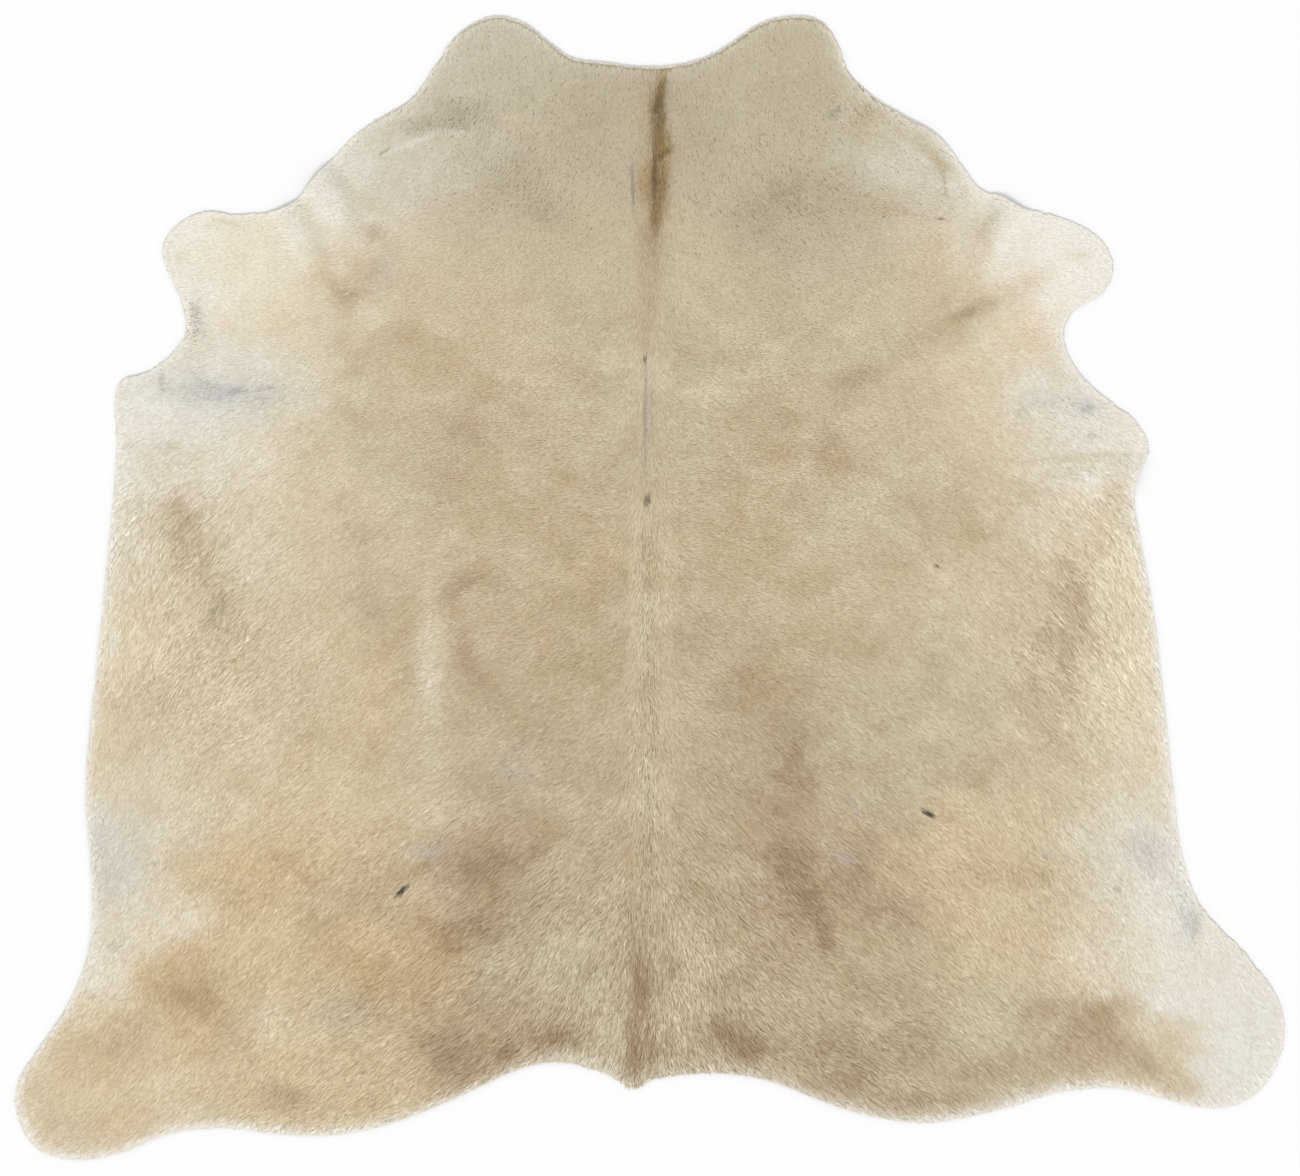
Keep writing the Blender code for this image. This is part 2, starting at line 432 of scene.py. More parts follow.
# The fields of each row below, in order: tone, middle, reaches, strength, turn and firmness
NECK_PATCHES = (
    # The next two rows are painted shade above the left neck pad's fold, and the two chalk rows
    # after them are painted highlights along its crest.
    (Tone.ASH_DARK, (428, 123), (38, 9), 0.26, 16),
    (Tone.ASH_DARK, (464, 112), (32, 16), 0.3, -12),
    (Tone.CHALK, (410, 143), (30, 4), 0.48, 20, 1.5),
    (Tone.CHALK, (456, 133), (22, 4), 0.38, -4, 1.5),
    (Tone.SPECK, (384, 151), (9, 1.6), 0.65, 36, 2),
    (Tone.SPECK, (482, 137), (2, 5), 0.4, -30, 1.5),
    (Tone.PALE_GREY, (480, 166), (32, 9), 0.35, 44),
    (Tone.PALE_GREY, (498, 142), (24, 20), 0.35),
    (Tone.PINK, (424, 210), (24, 13), 0.4, 28),
    (Tone.PINK, (515, 126), (20, 11), 0.3, -30),
    (Tone.ASH_DARK, (514, 176), (36, 30), 0.32, -30),
    (Tone.ASH_DARK, (548, 212), (28, 18), 0.3, -20),
    (Tone.ASH_DARK, (600, 110), (24, 30), 0.25),
    (Tone.ASH_DARK, (785, 200), (60, 26), 0.45),
    (Tone.ASH_DARK, (765, 240), (34, 22), 0.3),
    (Tone.NECK_GREY, (832, 134), (36, 22), 0.45, -30),
    (Tone.ASH_DARK, (705, 130), (22, 40), 0.25),
    (Tone.SPECK, (753, 173), (3, 2), 0.35, 0, 2),
    (Tone.SPECK, (585, 76), (3, 5), 0.2, 0, 2),
    (Tone.SPECK, (928, 219), (12, 2), 0.2, 0, 1.5),
    (Tone.SCAR, (940, 218), (2.4, 1.7), 0.8, -30, 1.5),
    (Tone.CHALK, (965, 212), (16, 14), 0.34),
    (Tone.SPECK, (835, 110), (9, 5), 0.4, 40, 2),
    (Tone.CHALK, (846, 119), (5, 3), 0.3, 40, 2),
    (Tone.PALE_GREY, (430, 166), (46, 24), 0.45, 14),
    (Tone.CHALK, (904, 172), (28, 24), 0.3, -30),
    # Of the next eight rows, the olive and brown ones are painted shade on the upper side of the
    # right neck pad's fold, and the chalk ones are painted highlights on its lower side.
    (Tone.OLIVE, (888, 124), (44, 14), 0.46, -42),
    (Tone.SPECK, (943, 184), (1.8, 15), 0.45, 10, 1.5),
    (Tone.CHALK, (914, 152), (30, 3), 0.5, -38, 1.5),
    (Tone.OLIVE, (868, 126), (24, 20), 0.34, -30),
    (Tone.OLIVE, (930, 150), (22, 6), 0.4, -50, 1.5),
    (Tone.OLIVE, (940, 168), (13, 6), 0.35, -50),
    (Tone.BROWN, (945, 166), (5, 3), 0.35, -50, 1.5),
    (Tone.CHALK, (953, 188), (13, 8), 0.4, -50, 1.5),
    (Tone.FAWN, (896, 211), (42, 8), 0.46, -8),
    (Tone.PINK, (905, 232), (36, 12), 0.3),
    (Tone.PALE_GREY, (385, 212), (46, 18), 0.35),
    (Tone.PINK, (465, 216), (26, 18), 0.25),
)

STRIPE_PATCHES = (
    (Tone.FAWN, (655, 150), (20, 78), 0.35),
    (Tone.BROWN, (657, 150), (13, 74), 0.45),
    (Tone.SPECK, (633, 186), (1.7, 24), 0.75, 2, 2),
    (Tone.SPECK, (631, 168), (3, 4), 0.5),
    (Tone.OLIVE, (641, 140), (4, 34), 0.3, 2, 1.5),
    (Tone.STRIPE, (662, 86), (5, 18), 0.85, -5, 1.5),
    (Tone.STRIPE, (660, 112), (7, 22), 0.85, -4, 1.5),
    (Tone.STRIPE, (659, 138), (10, 18), 0.8, 0, 1.5),
    (Tone.STRIPE_CORE, (660, 106), (5, 18), 0.6, -3),
    (Tone.AMBER, (664, 146), (7, 10), 0.28, 30),
    (Tone.BROWN, (653, 180), (14, 22), 0.75, 0, 1.5),
    (Tone.STRIPE, (659, 180), (9, 28), 0.75, 4, 1.5),
    (Tone.AMBER, (644, 176), (6, 14), 0.3),
    (Tone.AMBER, (666, 168), (3, 12), 0.4, 8),
    (Tone.STRIPE_CORE, (654, 178), (2.5, 26), 0.75, 0, 1.5),
    (Tone.STRIPE_CORE, (663, 152), (11, 2.5), 0.65, 34, 1.5),
    (Tone.STRIPE, (655, 214), (6, 22), 0.8, 2, 1.5),
    (Tone.BROWN, (649, 250), (10, 34), 0.6, 2),
    (Tone.FAWN, (647, 312), (8, 46), 0.45),
    (Tone.LAVENDER, (647, 410), (4, 60), 0.28, 0, 1.5),
    (Tone.SPECK, (645, 412), (1.8, 60), 0.48, 0, 1.5),
    (Tone.SPECK, (652, 396), (1.5, 34), 0.2, 0, 1.5),
    (Tone.SCAR, (645, 358), (2, 4.5), 0.45, 0, 1.5),
    (Tone.OLIVE, (647, 500), (4, 7), 0.7, 10, 1.5),
    (Tone.SCAR, (647, 499), (3, 6.5), 0.68, -18, 1.5),
    (Tone.OLIVE, (647, 545), (4, 46), 0.1, 0, 1.5),
    (Tone.TAN, (650, 574), (12, 20), 0.3),
    (Tone.WARM_TAN, (636, 576), (8, 66), 0.3, 0, 1.5),
    (Tone.WARM_TAN, (664, 572), (12, 66), 0.36, 0, 1.5),
)

SPINE_PATCHES = (
    (Tone.TAN, (662, 740), (54, 80), 0.5),
    (Tone.TAN, (608, 610), (20, 18), 0.36),
    (Tone.WARM_TAN, (637, 700), (9, 190), 0.36, 0, 1.5),
    (Tone.WARM_TAN, (665, 700), (13, 190), 0.42, 0, 1.5),
    (Tone.OLIVE, (624, 610), (5, 100), 0.18, 0, 1.5),
    (Tone.OLIVE, (682, 600), (6, 90), 0.15, 0, 1.5),
    (Tone.OLIVE, (633, 885), (15, 55), 0.35),
    (Tone.FAWN, (604, 858), (32, 48), 0.74),
    (Tone.TAN, (606, 948), (18, 20), 0.36),
    (Tone.FAWN, (548, 845), (24, 30), 0.25),
    (Tone.BROWN, (640, 1005), (20, 66), 0.6),
    (Tone.UMBER, (640, 980), (8, 34), 0.75, 3, 1.5),
    (Tone.UMBER, (634, 1042), (8, 38), 0.7, 3, 1.5),
    (Tone.UMBER, (651, 1040), (4, 28), 0.45, 3, 1.5),
    (Tone.BROWN, (668, 975), (9, 26), 0.35),
    (Tone.TAN, (677, 1018), (16, 32), 0.68),
    (Tone.TAN, (598, 1022), (18, 28), 0.6),
)

LEFT_FORE_PATCHES = (
    # (300, 234) and the chalk row at (295, 228) are painted highlights on their crests.
    # (306, 222) and (320, 248) are painted shade beside them, and the white rows at (334, 212) and
    # Painted light and shade of the left shoulder roll and ripple: the olive rows at (352, 190),
    (Tone.OLIVE, (352, 190), (26, 13), 0.26, -48),
    (Tone.CHALK, (354, 166), (20, 24), 0.3),
    (Tone.WHITE, (334, 212), (13, 28), 0.7, 22, 1.5),
    (Tone.OLIVE, (306, 222), (8, 18), 0.25, 24),
    (Tone.OLIVE, (320, 248), (8, 16), 0.2, 32),
    (Tone.FAWN, (376, 266), (32, 34), 0.38),
    (Tone.WARM_TAN, (284, 324), (42, 28), 0.3),
    (Tone.CHALK, (295, 228), (9, 18), 0.6, 20, 1.5),
    (Tone.WHITE, (300, 234), (22, 20), 0.45),
    (Tone.WHITE, (208, 302), (38, 28), 0.5),
    (Tone.OLIVE, (224, 221), (12, 2.5), 0.3, -12, 1.5),
    (Tone.OLIVE, (232, 224), (20, 6), 0.12),
    (Tone.GOLD, (178, 260), (9, 5), 0.25),
    (Tone.FAWN, (350, 292), (34, 28), 0.3),
    (Tone.BROWN, (347, 293), (18, 14), 0.42),
    (Tone.BROWN, (374, 232), (12, 10), 0.25),
    (Tone.GOLD, (330, 272), (30, 14), 0.3, 30),
    (Tone.FAWN, (352, 348), (18, 18), 0.3),
    (Tone.BROWN, (415, 340), (24, 12), 0.25),
    (Tone.FAWN, (452, 388), (20, 24), 0.4),
    (Tone.FAWN, (505, 410), (44, 20), 0.45),
    (Tone.PINK, (312, 318), (18, 16), 0.25),
    (Tone.LAVENDER, (384, 273), (9, 16), 0.35, -15),
    (Tone.PEACH, (230, 325), (12, 7), 0.42),
    (Tone.BLUE_GREY, (198, 322), (9, 22), 0.35),
    (Tone.SPECK, (196, 314), (5, 11), 0.24, -10),
    (Tone.SPECK, (197, 336), (6, 6), 0.28, 20),
    (Tone.BLUE_GREY, (240, 391), (60, 15), 0.45, -3),
    (Tone.BLUE_GREY, (213, 394), (18, 9), 0.38),
    (Tone.MIST, (230, 412), (60, 14), 0.35),
    (Tone.SPECK, (163, 380), (2.5, 17), 0.3, 0, 1.5),
    (Tone.CHALK, (142, 400), (15, 12), 0.35),
    (Tone.CHALK, (246, 362), (42, 16), 0.46, -6),
    (Tone.LAVENDER, (250, 370), (18, 9), 0.14, -10),
    (Tone.SPECK, (195, 374), (8, 2), 0.3, -50),
    (Tone.SPECK, (212, 385), (9, 2.5), 0.3, -16),
    (Tone.SPECK, (240, 390), (10, 2.5), 0.24, -10),
    (Tone.SPECK, (268, 388), (14, 2), 0.26, 10),
    (Tone.SPECK, (262, 398), (12, 2), 0.2, 6),
    (Tone.OLIVE, (123, 390), (7, 9), 0.15, 0, 1.5),
    (Tone.CHALK, (160, 440), (28, 45), 0.2),
    (Tone.BROWN, (128, 446), (8, 3.5), 0.35, 15),
    (Tone.SPECK, (172, 447), (8, 7), 0.15),
    (Tone.PEACH, (288, 440), (24, 20), 0.15),
)

LEFT_FLANK_PATCHES = (
    (Tone.WHEAT, (178, 635), (28, 70), 0.3),
    (Tone.WHEAT, (222, 720), (84, 66), 0.3),
    (Tone.DRAB, (306, 712), (18, 90), 0.18),
    (Tone.SAND, (152, 548), (18, 40), 0.5, 14),
    (Tone.CREAM, (244, 520), (18, 36), 0.34, 18),
    (Tone.FAWN, (182, 518), (26, 28), 0.42, 20),
    (Tone.FAWN, (201, 572), (27, 72), 0.42, 22),
    (Tone.BROWN, (203, 560), (15, 46), 0.36, 22),
    # The next two rows are painted shade in the gaps beside the cowlick on the left flank.
    (Tone.OLIVE, (209, 566), (6, 16), 0.65, -38),
    (Tone.OLIVE, (216, 608), (9, 18), 0.75, -38),
    (Tone.SPECK, (216, 610), (3, 10), 0.35, -38),
    (Tone.CHALK, (114, 640), (8, 14), 0.5, 0, 1.5),
    (Tone.FAWN, (114, 700), (11, 38), 0.2),
    (Tone.BROWN, (355, 531), (22, 12), 0.3),
    (Tone.BROWN, (337, 505), (10, 9), 0.2),
    (Tone.NECK_GREY, (372, 592), (20, 28), 0.4),
    (Tone.BROWN, (402, 632), (8, 22), 0.3),
    (Tone.FAWN, (322, 735), (24, 14), 0.35),
    (Tone.GOLD, (378, 705), (20, 46), 0.3),
    (Tone.BROWN, (386, 650), (10, 30), 0.2),
    (Tone.FAWN, (462, 600), (36, 62), 0.48),
    (Tone.SAND, (432, 676), (14, 82), 0.62, 2),
    (Tone.SAND, (174, 808), (9, 44), 0.35, 4),
    (Tone.FAWN, (145, 735), (20, 50), 0.1),
)

BACK_PATCHES = (
    (Tone.DRAB, (535, 416), (28, 21), 0.42),
    (Tone.DRAB, (822, 470), (26, 36), 0.38),
    (Tone.DRAB, (312, 450), (32, 26), 0.3),
    (Tone.DRAB, (490, 590), (36, 28), 0.3),
    (Tone.TAN, (385, 340), (36, 17), 0.35),
    (Tone.BROWN, (473, 432), (26, 14), 0.45),
    (Tone.FAWN, (455, 474), (26, 20), 0.55),
    (Tone.FAWN, (525, 436), (18, 14), 0.4),
    (Tone.FAWN, (572, 480), (28, 40), 0.25),
    (Tone.FAWN, (538, 530), (24, 30), 0.4),
    (Tone.FAWN, (585, 512), (28, 18), 0.35),
    (Tone.GOLD, (610, 550), (16, 14), 0.4),
    (Tone.GOLD, (585, 575), (18, 14), 0.35),
    (Tone.BROWN, (463, 588), (24, 16), 0.5, 10),
    (Tone.BROWN, (467, 664), (18, 28), 0.48),
    (Tone.FAWN, (545, 650), (26, 22), 0.45),
    (Tone.FAWN, (510, 622), (30, 26), 0.5),
    (Tone.OLIVE, (580, 665), (24, 16), 0.35),
    (Tone.OLIVE, (537, 712), (24, 18), 0.35),
    (Tone.FAWN, (585, 730), (22, 16), 0.35),
    (Tone.FAWN, (530, 766), (44, 32), 0.3),
    (Tone.LILAC, (518, 766), (30, 24), 0.5),
    (Tone.BROWN, (530, 818), (32, 18), 0.28),
    (Tone.LILAC, (622, 757), (22, 14), 0.25),
    (Tone.BROWN, (781, 422), (20, 10), 0.4, 20),
    (Tone.FAWN, (772, 448), (16, 12), 0.4),
    (Tone.TAN, (803, 436), (8, 7), 0.3),
    (Tone.BROWN, (827, 434), (14, 14), 0.45),
    (Tone.FAWN, (818, 460), (40, 15), 0.65),
    (Tone.FAWN, (710, 508), (28, 20), 0.52),
    (Tone.TAN, (778, 542), (22, 18), 0.4),
    (Tone.FAWN, (712, 582), (36, 18), 0.35),
    (Tone.FAWN, (762, 655), (28, 18), 0.25),
    (Tone.FAWN, (755, 690), (30, 32), 0.35),
    (Tone.BROWN, (796, 745), (18, 22), 0.45),
    (Tone.UMBER, (796, 778), (24, 30), 0.46),
    (Tone.LILAC, (815, 530), (24, 16), 0.25),
    (Tone.CREAM, (845, 695), (16, 24), 0.25),
    (Tone.BROWN, (855, 381), (26, 12), 0.28, 25),
    (Tone.FAWN, (450, 340), (20, 20), 0.2),
    (Tone.FAWN, (865, 412), (16, 30), 0.15),
    (Tone.FAWN, (560, 370), (40, 12), 0.15),
    (Tone.SPECK, (679, 803), (1.6, 3), 0.4, 0, 2),
)

RIGHT_FORE_PATCHES = (
    # This row and the ash row at (988, 226) are painted shade along the right shoulder roll.
    (Tone.OLIVE, (970, 230), (26, 14), 0.14, 35),
    (Tone.PALE_GREY, (958, 222), (24, 20), 0.42),
    (Tone.ASH_DARK, (988, 226), (7, 27), 0.22, -35, 1.5),
    (Tone.FAWN, (952, 255), (22, 18), 0.25, 30),
    (Tone.WHITE, (1010, 238), (20, 32), 0.6, -35, 1.5),
    # The next three rows and the two olive rows after the gold one are painted shade in the right
    # foreleg crease.
    (Tone.FAWN, (966, 308), (42, 18), 0.25, 26),
    (Tone.OLIVE, (972, 310), (30, 8), 0.5, 24, 1.5),
    (Tone.UMBER, (964, 313), (14, 4.5), 0.36, 18, 1.5),
    (Tone.GOLD, (1012, 288), (30, 9), 0.35, 22),
    (Tone.OLIVE, (918, 342), (36, 11), 0.32, 26),
    (Tone.OLIVE, (888, 358), (22, 10), 0.22, 30),
    (Tone.PEACH, (1030, 335), (32, 36), 0.45),
    (Tone.GOLD, (1075, 256), (12, 5), 0.2),
    (Tone.MIST, (1060, 402), (60, 12), 0.5),
    (Tone.BLUE_GREY, (1086, 407), (10, 7), 0.45),
    (Tone.SPECK, (1088, 407), (5, 3), 0.3),
    (Tone.SPECK, (1090, 435), (6, 2.5), 0.3),
    (Tone.SPECK, (1018, 415), (3, 16), 0.2, -15, 1.5),
    # This row is painted shade above the right flank ripple, and the white row two below it is a
    # painted highlight on its crest.
    (Tone.OLIVE, (1075, 457), (50, 5), 0.3, 5, 1.5),
    (Tone.WARM_TAN, (1010, 446), (36, 26), 0.45),
    (Tone.WHITE, (1078, 482), (34, 9), 0.5, 4, 1.5),
    (Tone.GOLD, (1114, 498), (12, 24), 0.45, -20),
    (Tone.PEACH, (1085, 545), (28, 36), 0.6),
    (Tone.FAWN, (862, 466), (26, 10), 0.2),
    (Tone.FAWN, (902, 500), (30, 10), 0.2),
    (Tone.FAWN, (945, 480), (30, 12), 0.18),
    (Tone.FAWN, (980, 520), (26, 20), 0.25),
    (Tone.SCAR, (936, 565), (4, 1.8), 0.5, -32, 2),
)

RIGHT_FLANK_PATCHES = (
    (Tone.BROWN, (1070, 578), (18, 22), 0.55, -20),
    (Tone.UMBER, (1078, 566), (10, 6), 0.35),
    (Tone.UMBER, (1080, 598), (6, 9), 0.35),
    (Tone.WHEAT, (1100, 632), (56, 36), 0.38),
    (Tone.FAWN, (1068, 630), (24, 44), 0.3),
    (Tone.BROWN, (1086, 622), (9, 12), 0.25),
    (Tone.BROWN, (1040, 642), (9, 14), 0.2),
    (Tone.BROWN, (1068, 675), (9, 26), 0.4, 10),
    (Tone.BROWN, (1030, 690), (14, 12), 0.3, -40),
    (Tone.FAWN, (1042, 720), (18, 12), 0.35, -40),
    (Tone.GOLD, (1152, 755), (7, 12), 0.4),
    (Tone.TAN, (908, 640), (20, 16), 0.3),
    (Tone.FAWN, (885, 675), (18, 26), 0.25),
    (Tone.BROWN, (850, 704), (18, 14), 0.3),
    (Tone.LILAC, (940, 662), (14, 16), 0.2),
    (Tone.CREAM, (972, 672), (22, 16), 0.3, -30),
    (Tone.PINK, (1045, 765), (50, 18), 0.45, -8),
    (Tone.FAWN, (975, 775), (30, 14), 0.35, -10),
    (Tone.FAWN, (870, 765), (20, 14), 0.3),
    (Tone.CREAM, (862, 800), (20, 10), 0.25),
    (Tone.SCAR, (928, 813), (7.5, 2.8), 0.95, -32, 2.5),
)

LEFT_RUMP_PATCHES = (
    (Tone.UMBER, (452, 1052), (26, 18), 0.32),
    (Tone.UMBER, (491, 862), (18, 12), 0.32, 30),
    (Tone.BROWN, (545, 1032), (26, 18), 0.45),
    (Tone.FAWN, (620, 846), (18, 40), 0.45),
    (Tone.DRAB, (335, 894), (58, 16), 0.42),
    (Tone.FAWN, (382, 1016), (20, 17), 0.42),
    (Tone.FAWN, (540, 1016), (18, 17), 0.42),
    (Tone.FAWN, (420, 932), (18, 17), 0.38),
    (Tone.WHEAT, (438, 814), (34, 18), 0.5),
    (Tone.TAN, (457, 1016), (18, 18), 0.5),
    (Tone.TAN, (458, 700), (20, 20), 0.5),
    (Tone.GOLD, (275, 866), (96, 32), 0.7),
    (Tone.FAWN, (385, 845), (40, 18), 0.25, 10),
    (Tone.GOLD, (262, 940), (24, 14), 0.4),
    (Tone.OLIVE, (321, 922), (24, 12), 0.3),
    (Tone.FAWN, (362, 886), (44, 24), 0.66),
    (Tone.GOLD, (262, 904), (44, 20), 0.4),
    (Tone.FAWN, (402, 922), (22, 18), 0.3),
    (Tone.BROWN, (337, 890), (6, 3), 0.3, 10),
    (Tone.SCAR, (402, 891), (8, 2.6), 0.95, 42, 2.5),
    (Tone.LAVENDER, (432, 850), (16, 10), 0.55),
    (Tone.BROWN, (483, 869), (30, 22), 0.8),
    (Tone.BROWN, (528, 858), (26, 16), 0.45),
    (Tone.BROWN, (470, 925), (34, 22), 0.6, 25),
    (Tone.UMBER, (452, 948), (16, 8), 0.4, 20),
    (Tone.FAWN, (425, 974), (32, 24), 0.3),
    (Tone.TAN, (442, 1012), (28, 16), 0.3),
    (Tone.FAWN, (512, 972), (36, 30), 0.4),
    (Tone.GOLD, (360, 955), (46, 26), 0.45),
    (Tone.FAWN, (540, 1014), (60, 24), 0.6),
    (Tone.UMBER, (557, 1042), (24, 16), 0.78),
    (Tone.UMBER, (505, 1052), (15, 13), 0.66),
    (Tone.BROWN, (452, 1056), (28, 26), 0.75),
    (Tone.BROWN, (425, 1035), (12, 18), 0.35),
)

RIGHT_RUMP_PATCHES = (
    (Tone.FAWN, (782, 858), (20, 22), 0.42),
    (Tone.FAWN, (900, 930), (17, 86), 0.42),
    (Tone.FAWN, (816, 890), (22, 17), 0.42),
    (Tone.FAWN, (780, 976), (20, 22), 0.45),
    (Tone.WARM_TAN, (846, 818), (34, 17), 0.42),
    (Tone.BROWN, (731, 1032), (28, 18), 0.66),
    (Tone.UMBER, (722, 1034), (18, 12), 0.3),
    (Tone.UMBER, (749, 1051), (17, 14), 0.76),
    (Tone.FAWN, (705, 1045), (20, 12), 0.4),
    (Tone.TAN, (706, 990), (22, 26), 0.42),
    (Tone.FAWN, (820, 890), (90, 44), 0.45),
    (Tone.BROWN, (786, 866), (25, 26), 0.75),
    (Tone.BROWN, (812, 904), (20, 20), 0.65),
    (Tone.UMBER, (797, 878), (15, 34), 0.5, 28),
    (Tone.UMBER, (819, 926), (14, 30), 0.46, 8),
    (Tone.UMBER, (822, 942), (18, 11), 0.34),
    (Tone.TAN, (826, 840), (16, 8), 0.4),
    (Tone.BROWN, (782, 818), (22, 18), 0.34),
    (Tone.BROWN, (858, 878), (20, 22), 0.65),
    (Tone.BROWN, (897, 913), (32, 18), 0.7, -10),
    (Tone.FAWN, (780, 950), (28, 36), 0.65),
    (Tone.BROWN, (792, 974), (26, 9), 0.24, -15),
    (Tone.MIST, (762, 898), (8, 3), 0.6, 10, 1.5),
    (Tone.LAVENDER, (844, 856), (15, 9), 0.42, -20),
    (Tone.LAVENDER, (855, 808), (3.5, 26), 0.42, 28),
    (Tone.BROWN, (880, 984), (30, 24), 0.42),
    (Tone.BROWN, (822, 1050), (26, 16), 0.42),
    (Tone.UMBER, (845, 1080), (18, 14), 0.5),
    (Tone.TAN, (918, 1084), (36, 14), 0.45),
    (Tone.BROWN, (930, 1100), (46, 9), 0.28),
    (Tone.FAWN, (1000, 1070), (44, 18), 0.5, 8),
    (Tone.OLIVE, (917, 1028), (20, 12), 0.3),
    (Tone.FAWN, (955, 868), (46, 22), 0.25),
    (Tone.FAWN, (985, 872), (16, 16), 0.2),
    (Tone.FAWN, (914, 846), (22, 18), 0.32),
    (Tone.CREAM, (1086, 866), (44, 40), 0.52, -20),
    (Tone.FAWN, (1035, 878), (20, 26), 0.45, -30),
    (Tone.BLUE_GREY, (1046, 855), (4, 3.5), 0.45),
)

HIND_LEG_PATCHES = (
    (Tone.NECK_GREY, (98, 862), (13, 34), 0.4),
    (Tone.BLUE_GREY, (95, 845), (8, 24), 0.25),
    (Tone.SPECK, (155, 862), (5, 2), 0.35, 0, 1.5),
    (Tone.SPECK, (133, 905), (3, 3), 0.25, 0, 1.5),
    (Tone.BLUE_GREY, (119, 945), (14, 8), 0.35),
    (Tone.GOLD, (180, 992), (56, 28), 0.25, 5),
    (Tone.BROWN, (192, 994), (36, 17), 0.42, 5),
    (Tone.BROWN, (214, 1004), (22, 14), 0.28, -25),
    (Tone.FAWN, (222, 1035), (24, 22), 0.4),
    (Tone.FAWN, (130, 1038), (34, 16), 0.45, 30),
    (Tone.CREAM, (275, 1018), (20, 16), 0.5),
    (Tone.LILAC, (345, 1012), (28, 22), 0.42),
    (Tone.TAN, (130, 935), (46, 36), 0.32),
    (Tone.BROWN, (288, 1097), (26, 13), 0.4),
    (Tone.GOLD, (120, 1120), (24, 12), 0.6, 10),
    (Tone.GOLD, (88, 1075), (26, 18), 0.3),
    (Tone.LAVENDER, (1150, 858), (22, 22), 0.35),
    (Tone.BLUE_GREY, (1188, 915), (12, 28), 0.4, -8),
    (Tone.SPECK, (1195, 924), (4, 13), 0.25, -8),
    (Tone.SPECK, (1117, 889), (4, 2.5), 0.4, 20, 1.5),
    (Tone.SPECK, (1090, 939), (2, 3), 0.35, 0, 1.5),
    (Tone.BROWN, (1072, 1020), (31, 24), 0.52),
    (Tone.FAWN, (1040, 1012), (18, 14), 0.45),
    (Tone.FAWN, (1085, 1052), (44, 12), 0.45),
    (Tone.CHALK, (1182, 1012), (36, 20), 0.62, -38),
    (Tone.FAWN, (1144, 1064), (60, 17), 0.52, -36),
    (Tone.BROWN, (1106, 1044), (32, 15), 0.28, -40),
    (Tone.BROWN, (1038, 1012), (18, 14), 0.36),
    (Tone.BROWN, (988, 1070), (44, 16), 0.34, 12),
    (Tone.BROWN, (1160, 1074), (34, 10), 0.22, -36),
    (Tone.PEACH, (1050, 962), (40, 20), 0.3, -30),
)

PATCHES = [Patch(*row) for row in (
    *NECK_PATCHES, *SPINE_PATCHES, *STRIPE_PATCHES, *LEFT_FORE_PATCHES, *LEFT_FLANK_PATCHES,
    *BACK_PATCHES, *RIGHT_FORE_PATCHES, *RIGHT_FLANK_PATCHES, *LEFT_RUMP_PATCHES,
    *RIGHT_RUMP_PATCHES, *HIND_LEG_PATCHES,
)]

# The fields of each row, in order: middle, angle outwards, length and reach
LIES = [Lie(*row) for row in (
    ((610, 90), 4, 0.0085),
    ((490, 60), 14, 0.0085),
    ((440, 130), 34, 0.0085),
    ((560, 190), 22, 0.0085),
    ((420, 230), 66, 0.0090),
    ((340, 220), 80, 0.0090, 45),
    ((290, 260), 88, 0.0085, 45),
    ((210, 245), 94, 0.0082, 45),
    ((200, 330), 76, 0.0085, 45),
    ((150, 410), 62, 0.0100, 50),
    ((300, 400), 58, 0.0105),
    ((430, 330), 82, 0.0095),
    ((560, 300), 70, 0.0095),
    ((590, 430), 98, 0.0105),
    ((460, 430), 86, 0.0105),
    ((480, 520), 92, 0.0108),
    ((370, 520), 64, 0.0112),
    ((290, 530), 48, 0.0120),
    ((190, 540), 34, 0.0165, 50),
    ((115, 620), 14, 0.0120, 40),
    ((215, 650), 42, 0.0175, 50),
    ((370, 630), 50, 0.0115),
    ((500, 620), 76, 0.0110),
    ((600, 650), 60, 0.0115),
    ((110, 780), 18, 0.0115, 45),
    ((230, 780), 47, 0.0130),
    ((400, 760), 53, 0.0125),
    ((540, 760), 60, 0.0120),
    ((612, 800), 40, 0.0130, 50),
    ((130, 900), 34, 0.0110, 50),
    ((250, 900), 41, 0.0140),
    ((400, 900), 47, 0.0145),
    ((540, 900), 54, 0.0155),
    ((614, 960), 12, 0.0170, 50),
    ((150, 1000), 35, 0.0135),
    ((70, 1090), 48, 0.0115, 50),
    ((250, 1050), 46, 0.0140),
    ((400, 1050), 56, 0.0155),
    ((530, 1040), 50, 0.0160, 50),
    ((612, 1050), 8, 0.0185, 45),
)]

# The fields of each row, in order: middle, reaches and share
FLECKING = [Flecking(*row) for row in (
    ((540, 140), (110, 100), 0.12),
    ((765, 150), (110, 110), 0.13),
    ((520, 185), (56, 40), 0.18),
    ((795, 205), (66, 50), 0.20),
    ((455, 118), (32, 17), 0.34),
    ((862, 112), (30, 16), 0.20),
    ((197, 322), (10, 24), 0.40),
    ((235, 392), (48, 12), 0.16),
    ((1075, 408), (44, 14), 0.16),
    ((1188, 905), (14, 34), 0.14),
    ((96, 850), (10, 34), 0.16),
)]

